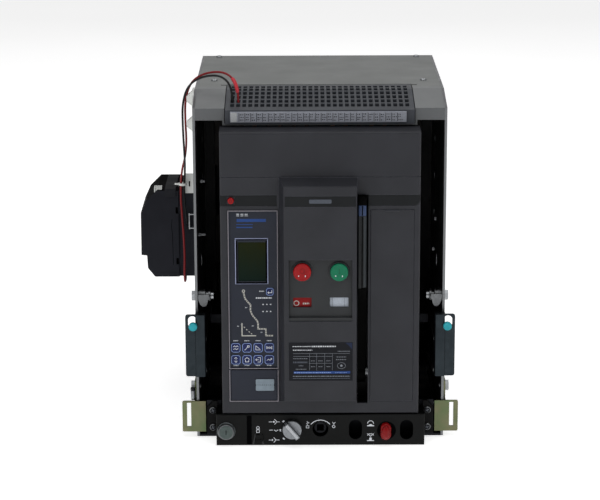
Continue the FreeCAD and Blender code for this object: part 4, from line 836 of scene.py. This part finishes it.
# released and blocked, beside the red button
base.arc(50.8, 23.0, 3.0, 0.6, 0, 180).box(47.3, 20.2, 54.3, 21.2)
base.shape((48.8, 21.2), (52.8, 21.2), (51.6, 22.4), (50.0, 22.4))
base.line(0.6, (47.5, 10.4), (49.3, 12.0), (52.3, 12.0), (54.1, 10.4))
base.line(0.6, (47.5, 12.4), (50.8, 9.4), (54.1, 12.4)).box(47.3, 4.4, 54.3, 5.3)
base.shape((49.5, 5.3), (52.1, 5.3), (52.1, 7.6), (50.8, 8.4), (49.5, 7.6))
# a padlock over the slide
base.outline(-65.0, 13.6, -61.6, 17.0, 0.5).arc(-63.3, 18.9, 1.4, 0.5)
base.done()
KNOB = Vector(((knob_low.x + knob_high.x) / 2, (knob_low.z + knob_high.z) / 2))
KNOB_TURN = math.radians(40)
along = Vector((-math.sin(KNOB_TURN), math.cos(KNOB_TURN))) * 8.8
across = Vector((math.cos(KNOB_TURN), math.sin(KNOB_TURN))) * 1.3
# Painted highlight: a light strip along the crest of the knob's bar.
bar = Print("knob_bar_highlight", "position_knob", RIDGE_HIGHLIGHT, slot="silver_plastic", proud=0.06, face=knob_low.y)
bar.shape(KNOB + along + across, KNOB + along - across, KNOB - along - across, KNOB - along + across)
bar.done()
button_low, button_high = corners("release_button")
button = Vector(((button_low.x + button_high.x) / 2, button_low.y, (button_low.z + button_high.z) / 2))
DOME_RADIUS = 4.4
DOME_DEPTH = 3.4
DOME_TALL = 1.62
dome_steps = [math.radians(15 * step) for step in range(7)]
dome = bmesh.new()
profile = [(DOME_RADIUS * math.cos(a), 0.05 - DOME_DEPTH * math.sin(a)) for a in dome_steps[:-1]]
profile.append((0, 0.05 - DOME_DEPTH))
lathe(dome, "Y", button, profile, 32)
bmesh.ops.scale(dome, vec=(1, 1, DOME_TALL), space=Matrix.Translation(-button), verts=dome.verts)
publish(dome, "release_dome", "release_button", RELEASE_RED, 50)
shade = Print("base_shades", "racking_panel", BLACK, proud=0.07, face=corners("racking_panel")[0].y)
shade.box(-74.6, 0.6, -69.6, 32.0)
turns = [2 * math.pi * i / 32 for i in range(32)]
lifts = [3.25 if a < math.pi else -3.25 for a in turns]
inner = [(66.2 + 5.9 * math.cos(a), 15.4 + lift + 5.9 * math.sin(a)) for a, lift in zip(turns, lifts)]
shade.between(inner, [(66.9 + 9.6 * math.cos(a), 15.6 + 9.6 * math.sin(a)) for a in turns])
shade.done()
tab_ground = Print("tab_ground", "racking_panel", LOOKS["bezel_plastic"], slot="base_plastic", proud=0.1)
tab_ground.shape((-69.0, 0.6), (-67.6, 0.6), (-65.2, 12.2), (-66.4, 12.2))
tab_ground.shape((-58.8, 0.6), (-57.0, 0.6), (-59.8, 12.2), (-61.0, 12.2))
tab_ground.done()

lock_low, lock_high = corners("key_lock")
LOCK = ((lock_low.x + lock_high.x) / 2, (lock_low.z + lock_high.z) / 2)
LOCK_DOME = ((7.0, 0.05), (6.9, -0.25), (6.2, -0.5), (4.4, -0.6), (4.2, -0.45), (0, -0.45))
dome = bmesh.new()
lathe(dome, "Y", (LOCK[0], lock_low.y, LOCK[1]), LOCK_DOME, 40)
publish(dome, "lock_face", "key_lock", LOCK_FACE, 30)
# Painted shade: a black slot on the lock face stands for the dark keyway.
key = Print("keyway_painted_shade", "key_lock", BLACK, slot="bezel_plastic", proud=0.5, face=lock_low.y)
key.box(LOCK[0] - 0.4, LOCK[1] - 2.6, LOCK[0] + 0.4, LOCK[1] + 2.6)
key.done()
bezel = bmesh.new()
LOCK_RIM = ((8.25, -159.9), (8.25, -161.0), (8.9, -161.2), (9.3, -160.8), (9.3, -159.9))
lathe(bezel, "Y", (LOCK[0], 0, LOCK[1]), LOCK_RIM, 40)
publish(bezel, "lock_ring", "cradle", LOCK_RING, 40)

# ---------------------------------------------------------------- terminal block
strip_low, strip_high = corners("terminal_label_strip")
label = Print("strip_label", "terminal_label_strip", DULL_WHITE, proud=0.15, face=strip_low.y)
label.box(strip_low.x + 0.6, strip_low.z + 0.8, strip_low.x + 6.6, strip_high.z - 0.8)
label.done()
strip = Print("strip_marks", "terminal_label_strip", BLACK, proud=0.1, face=strip_low.y)
for column in range(28):
    x = strip_low.x + 8.6 + column * (strip_high.x - strip_low.x - 12) / 28
    strip.box(x, strip_low.z + 1.2, x + 0.5, strip_high.z - 1.2)
    for row in range(3):
        z = strip_low.z + 2.8 + row * 2.7 + DICE.uniform(-0.4, 0.4)
        strip.dashes(x + 1.2, x + DICE.uniform(3.2, 5.4), z, 1.0, 1.0, 0.8)
strip.done()

# ---------------------------------------------------------------- control leads
BLACK_ROUTE = (
    (-87, -109, 342), (-86.6, -109, 358), (-97, -103, 370.5), (-117, -93, 368), (-132.5, -83, 357),
    (-138.6, -80, 338), (-138.6, -80, 316), (-138.4, -71, 294), (-139, -43, 270), (-140.6, -17.4, 250),
    (-142, -15.8, 230), (-141, -15.9, 213), (-139.6, -16, 201), (-139.3, -12.2, 195.6), (-139.3, -8, 195.6),
)
RED_ROUTE = (
    (-81, -109, 342), (-81, -107.5, 360), (-92, -100, 373.2), (-113, -90, 371.4), (-129.5, -79, 360.5),
    (-136, -76.6, 341), (-136, -76.6, 318), (-135.6, -67, 297), (-138.4, -41.5, 275), (-144, -21, 254),
    (-145.4, -19.6, 229), (-144.2, -18.4, 206), (-142.9, -17.4, 184), (-142.2, -17.2, 162), (-143, -16, 142),
    (-143, -8.5, 131), (-143, 3.5, 128.4), (-143, 10.8, 128.9), (-143, 15, 132.2), (-143, 15, 137.2),
)
WIRE_RADIUS = 1.1


def lead(name, route, look):
    """A control lead along the CAD route, as one smooth curve."""
    data = bpy.data.curves.new(name, "CURVE")
    data.dimensions = "3D"
    spline = data.splines.new("NURBS")
    spline.points.add(len(route) - 1)
    for held, point in zip(spline.points, route):
        held.co = (*at(*point), 1)
    spline.order_u = 3
    spline.use_endpoint_u = True
    spline.resolution_u = 8
    data.bevel_depth = WIRE_RADIUS * MM
    data.bevel_resolution = 4
    data.use_fill_caps = True
    data.materials.append(look)
    made = bpy.data.objects.new(name, data)
    bpy.context.scene.collection.objects.link(made)
    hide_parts(name.replace("lead", "wire"))
    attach(made, "cradle")
    return made


black_lead = lead("lead_black", BLACK_ROUTE, LOOKS["wire_black"])
red_lead = lead("lead_red", RED_ROUTE, LOOKS["wire_red"])


def sleeve(name, curve, start, end, radius, look):
    """A sleeve shrunk on a lead, between two of its lengths in millimetres from the terminal block."""
    bare = curve.copy()
    bare.data = curve.data.copy()
    bare.data.bevel_depth = 0
    line = bpy.data.meshes.new_from_object(bare)
    points = [vert.co / MM for vert in line.vertices]
    bpy.data.objects.remove(bare)
    run, picked = 0.0, []
    for before, point in zip(points, points[1:]):
        run += (point - before).length
        if start <= run <= end:
            picked.append(point)
    made = bmesh.new()
    rings = []
    sides = 16
    for i, point in enumerate(picked):
        ahead = picked[min(i + 1, len(picked) - 1)] - picked[max(i - 1, 0)]
        turn = ahead.to_track_quat("Z", "X")
        wide = radius * (0.8 if i in (0, len(picked) - 1) else 1.0)
        angles = [2 * math.pi * k / sides for k in range(sides)]
        around = [turn @ Vector((wide * math.cos(a), wide * math.sin(a), 0)) for a in angles]
        rings.append([made.verts.new(point + out) for out in around])
    for first, second in zip(rings, rings[1:]):
        for k in range(sides):
            m = (k + 1) % sides
            made.faces.new((first[k], first[m], second[m], second[k]))
    made.faces.new(rings[0][::-1])
    made.faces.new(rings[-1])
    return publish(made, name, "cradle", look, 60)


sleeve("red_sleeve", red_lead, 11, 29, 1.9, SLEEVE)
sleeve("black_sleeve", black_lead, 1, 11, 1.6, LOOKS["wire_black"])

# ---------------------------------------------------------------- cradle details
post = bmesh.new()
lathe(post, "Z", (-130.2, -127, 0), ((2.3, 38.2), (2.3, 47.6), (2.0, 48.0)), 20)
publish(post, "bracket_post", "cradle", LOOKS["zinc_steel"], 40)
cap = bmesh.new()
lathe(cap, "Z", (-130.2, -127, 0), ((1.9, 47.8), (2.5, 48.0), (2.5, 50.8), (2.0, 51.4), (0, 51.4)), 6)
publish(cap, "bracket_nut", "cradle", DARK_STEEL)
for side in (-1, 1):
    hand = "left" if side < 0 else "right"
    yoke = bmesh.new()
    outline = [(112, 150.4), (123.6, 150.4), (123.6, 145.6), (122.6, 143.0), (121.2, 139.4), (118.6, 137.4)]
    outline += [(115.6, 138.0), (113.9, 140.6), (113.7, 144.6), (112, 145.4)]
    prism(yoke, [(side * x, z) for x, z in outline], -127.4, -129.4)
    bmesh.ops.bevel(yoke, geom=yoke.edges[:], offset=0.3, segments=1, affect="EDGES")
    publish(yoke, "roller_yoke_" + hand, "cradle", LOOKS["roller_steel"])
    for row, z in enumerate((29.1, 10.9)):
        x = side * 109.7
        head_y = Front("cradle_fasteners")(x + 2.2, z)
        head = Print(f"ear_screw_{hand}_{row}", "cradle_fasteners", DARK_STEEL, proud=0.12, face=head_y)
        head.disc(x, z, 2.9, 24)
        head.done()
        # Painted highlight: two light strokes stand for glints in each screw head's recess.
        cross_highlight = Print(f"ear_cross_highlight_{hand}_{row}", "cradle_fasteners", DIM, proud=0.2, face=head_y)
        cross_highlight.line(0.5, (x - 1.5, z - 0.6), (x + 1.5, z + 0.6))
        cross_highlight.line(0.5, (x - 0.6, z + 1.5), (x + 0.6, z - 1.5))
        cross_highlight.done()

relay_low, relay_high = corners("relay_cover")
plug = bmesh.new()
PLUG_X = (-173.8, -165.2)
RIB_COUNT = 5
rib_pitch = (PLUG_X[1] - PLUG_X[0]) / RIB_COUNT
for number in range(RIB_COUNT):
    x = PLUG_X[0] + number * rib_pitch
    lowest = relay_high.z - max(0.0, -170.7 - x) + 0.05
    rib_y = (relay_low.y + 0.6, relay_low.y + 9)
    rounded_box(plug, (x, x + rib_pitch * 0.8), rib_y, (lowest, relay_high.z + 3.2), 0.4)
core_x = (PLUG_X[0] + 3.2, PLUG_X[1] - 0.3)
core_z = (relay_high.z + 0.05, relay_high.z + 2.6)
rounded_box(plug, core_x, (relay_low.y + 1.2, relay_low.y + 8), core_z)
publish(plug, "relay_plug", "cradle", LOOKS["nylon"])
seam = Print("relay_seam", "relay_cover", BLACK, proud=0.05)
seam.line(0.5, (-155.4, 200), (-156.2, 192), (-155.2, 183), (-154.8, 150))
for z in (153.6, 209.2):
    seam.box(-151.4, z - 3.2, -149.0, z + 3.2)
seam.done()
clip_y = corners("relay_strap")[0].y
clip = Print("relay_clip_face", "relay_strap", LOOKS["zinc_steel"], "zinc_steel", 0.1, clip_y)
clip.box(-137.6, 189.6, -136.5, 206.9).box(-136.5, 190.3, -132.2, 191.2).box(-136.5, 205.3, -132.2, 206.2)
clip.done()
TIE = Vector((-143, -18.4, 240))
tie = bmesh.new()
lathe(tie, "Z", TIE, ((3.5, -1.2), (4.3, -1.2), (4.3, 1.2), (3.5, 1.2), (3.5, -1.2)), 28, caps=False)
rounded_box(tie, (TIE.x - 8.4, TIE.x - 3.9), (TIE.y - 1, TIE.y + 1), (TIE.z - 0.7, TIE.z + 0.9), 0.2)
publish(tie, "wire_tie", "cradle", LOOKS["nylon"], 40)
STUD_Y = -100
for name, node, studs in (
    ("stud_left", "side_plate_left", ((-121.0, 261.5), (-123.6, 205.8))),
    ("stud_right", "side_plate_right", ((115.8, 221.7), (117.2, 190.0))),
):
    plate_low, plate_high = corners(node)
    wall = plate_high.x - 0.3 if node.endswith("left") else plate_low.x + 0.3
    for number, (tip, z) in enumerate(studs):
        inward = 1 if tip > wall else -1
        made = bmesh.new()
        reach = abs(tip - wall)
        shank = ((1.5, 0), (1.5, reach - 2.8))
        nut = ((2.3, reach - 2.6), (2.3, reach - 0.7), (1.4, reach - 0.6), (1.4, reach))
        lathe(made, "X", (wall, STUD_Y, z), [(radius, inward * run) for radius, run in shank + nut], 18)
        publish(made, f"{name}_{number}", "cradle", LOOKS["roller_steel"], 40)

# ---------------------------------------------------------------- studio
LIGHTS = {
    "key_top": {"energy": 15, "size": 1.8, "place": (0.1, -0.35, 1.7), "aim": (0, 0, 0.15)},
    "fill_left": {"energy": 8, "size": 1.4, "place": (-1.5, -1.7, 1.0), "aim": (0, 0, 0.2)},
    "fill_right": {"energy": 5, "size": 1.4, "place": (1.6, -1.6, 0.9), "aim": (0, 0, 0.2)},
    "rim_back": {"energy": 4, "size": 1.6, "place": (0, 2.0, 1.3), "aim": (0, 0, 0.2)},
}


def area_light(name, energy, size, place, aim):
    """A soft square light that looks at a point."""
    data = bpy.data.lights.new(name, "AREA")
    data.energy = energy
    data.size = size
    made = bpy.data.objects.new(name, data)
    made.location = place
    made.rotation_euler = (Vector(aim) - Vector(place)).to_track_quat("-Z", "Y").to_euler()
    bpy.context.scene.collection.objects.link(made)


for light_name, settings in LIGHTS.items():
    area_light(light_name, **settings)

WORLD_GLOW = 0.22
world = bpy.data.worlds.new("studio")
bpy.context.scene.world = world
world.use_nodes = True
world.node_tree.nodes["Background"].inputs["Color"].default_value = (1, 1, 1, 1)
world.node_tree.nodes["Background"].inputs["Strength"].default_value = WORLD_GLOW

FLOOR_REACH = 14
FLOOR_GAP = 0.0004
FLOOR_GLOW = 0.65
floor_mesh = bmesh.new()
bmesh.ops.create_grid(floor_mesh, x_segments=1, y_segments=1, size=FLOOR_REACH)
floor_data = bpy.data.meshes.new("floor")
floor_mesh.to_mesh(floor_data)
floor_mesh.free()
floor = bpy.data.objects.new("floor", floor_data)
floor.location.z = cad_low.z - FLOOR_GAP
bpy.context.scene.collection.objects.link(floor)
paper = Finish("white_paper", 0.7, 0.0, 0.0, 0.2)
paper.shader.inputs["Emission Color"].default_value = (1, 1, 1, 1)
paper.shader.inputs["Emission Strength"].default_value = FLOOR_GLOW
paper.colour(paper.mix(paper.spread(paper.noise(300), 0, 1), rgb("#f2f2f2"), rgb("#f6f6f6")))
floor_data.materials.append(paper.material)

CAMERA_PLACE = (-0.02006, -2.2422, 0.7488)
CAMERA_TILT = 75.36
CAMERA_ROLL = -0.2
CAMERA_LENS = 130.26
lens = bpy.data.cameras.new("camera")
lens.lens = CAMERA_LENS
lens.sensor_width = 36
camera = bpy.data.objects.new("camera", lens)
tilt = Matrix.Rotation(math.radians(CAMERA_TILT), 4, "X")
roll = Matrix.Rotation(math.radians(CAMERA_ROLL), 4, "Z")
camera.matrix_world = Matrix.Translation(CAMERA_PLACE) @ tilt @ roll
bpy.context.scene.collection.objects.link(camera)
bpy.context.scene.camera = camera
bpy.context.scene.view_settings.view_transform = "Standard"
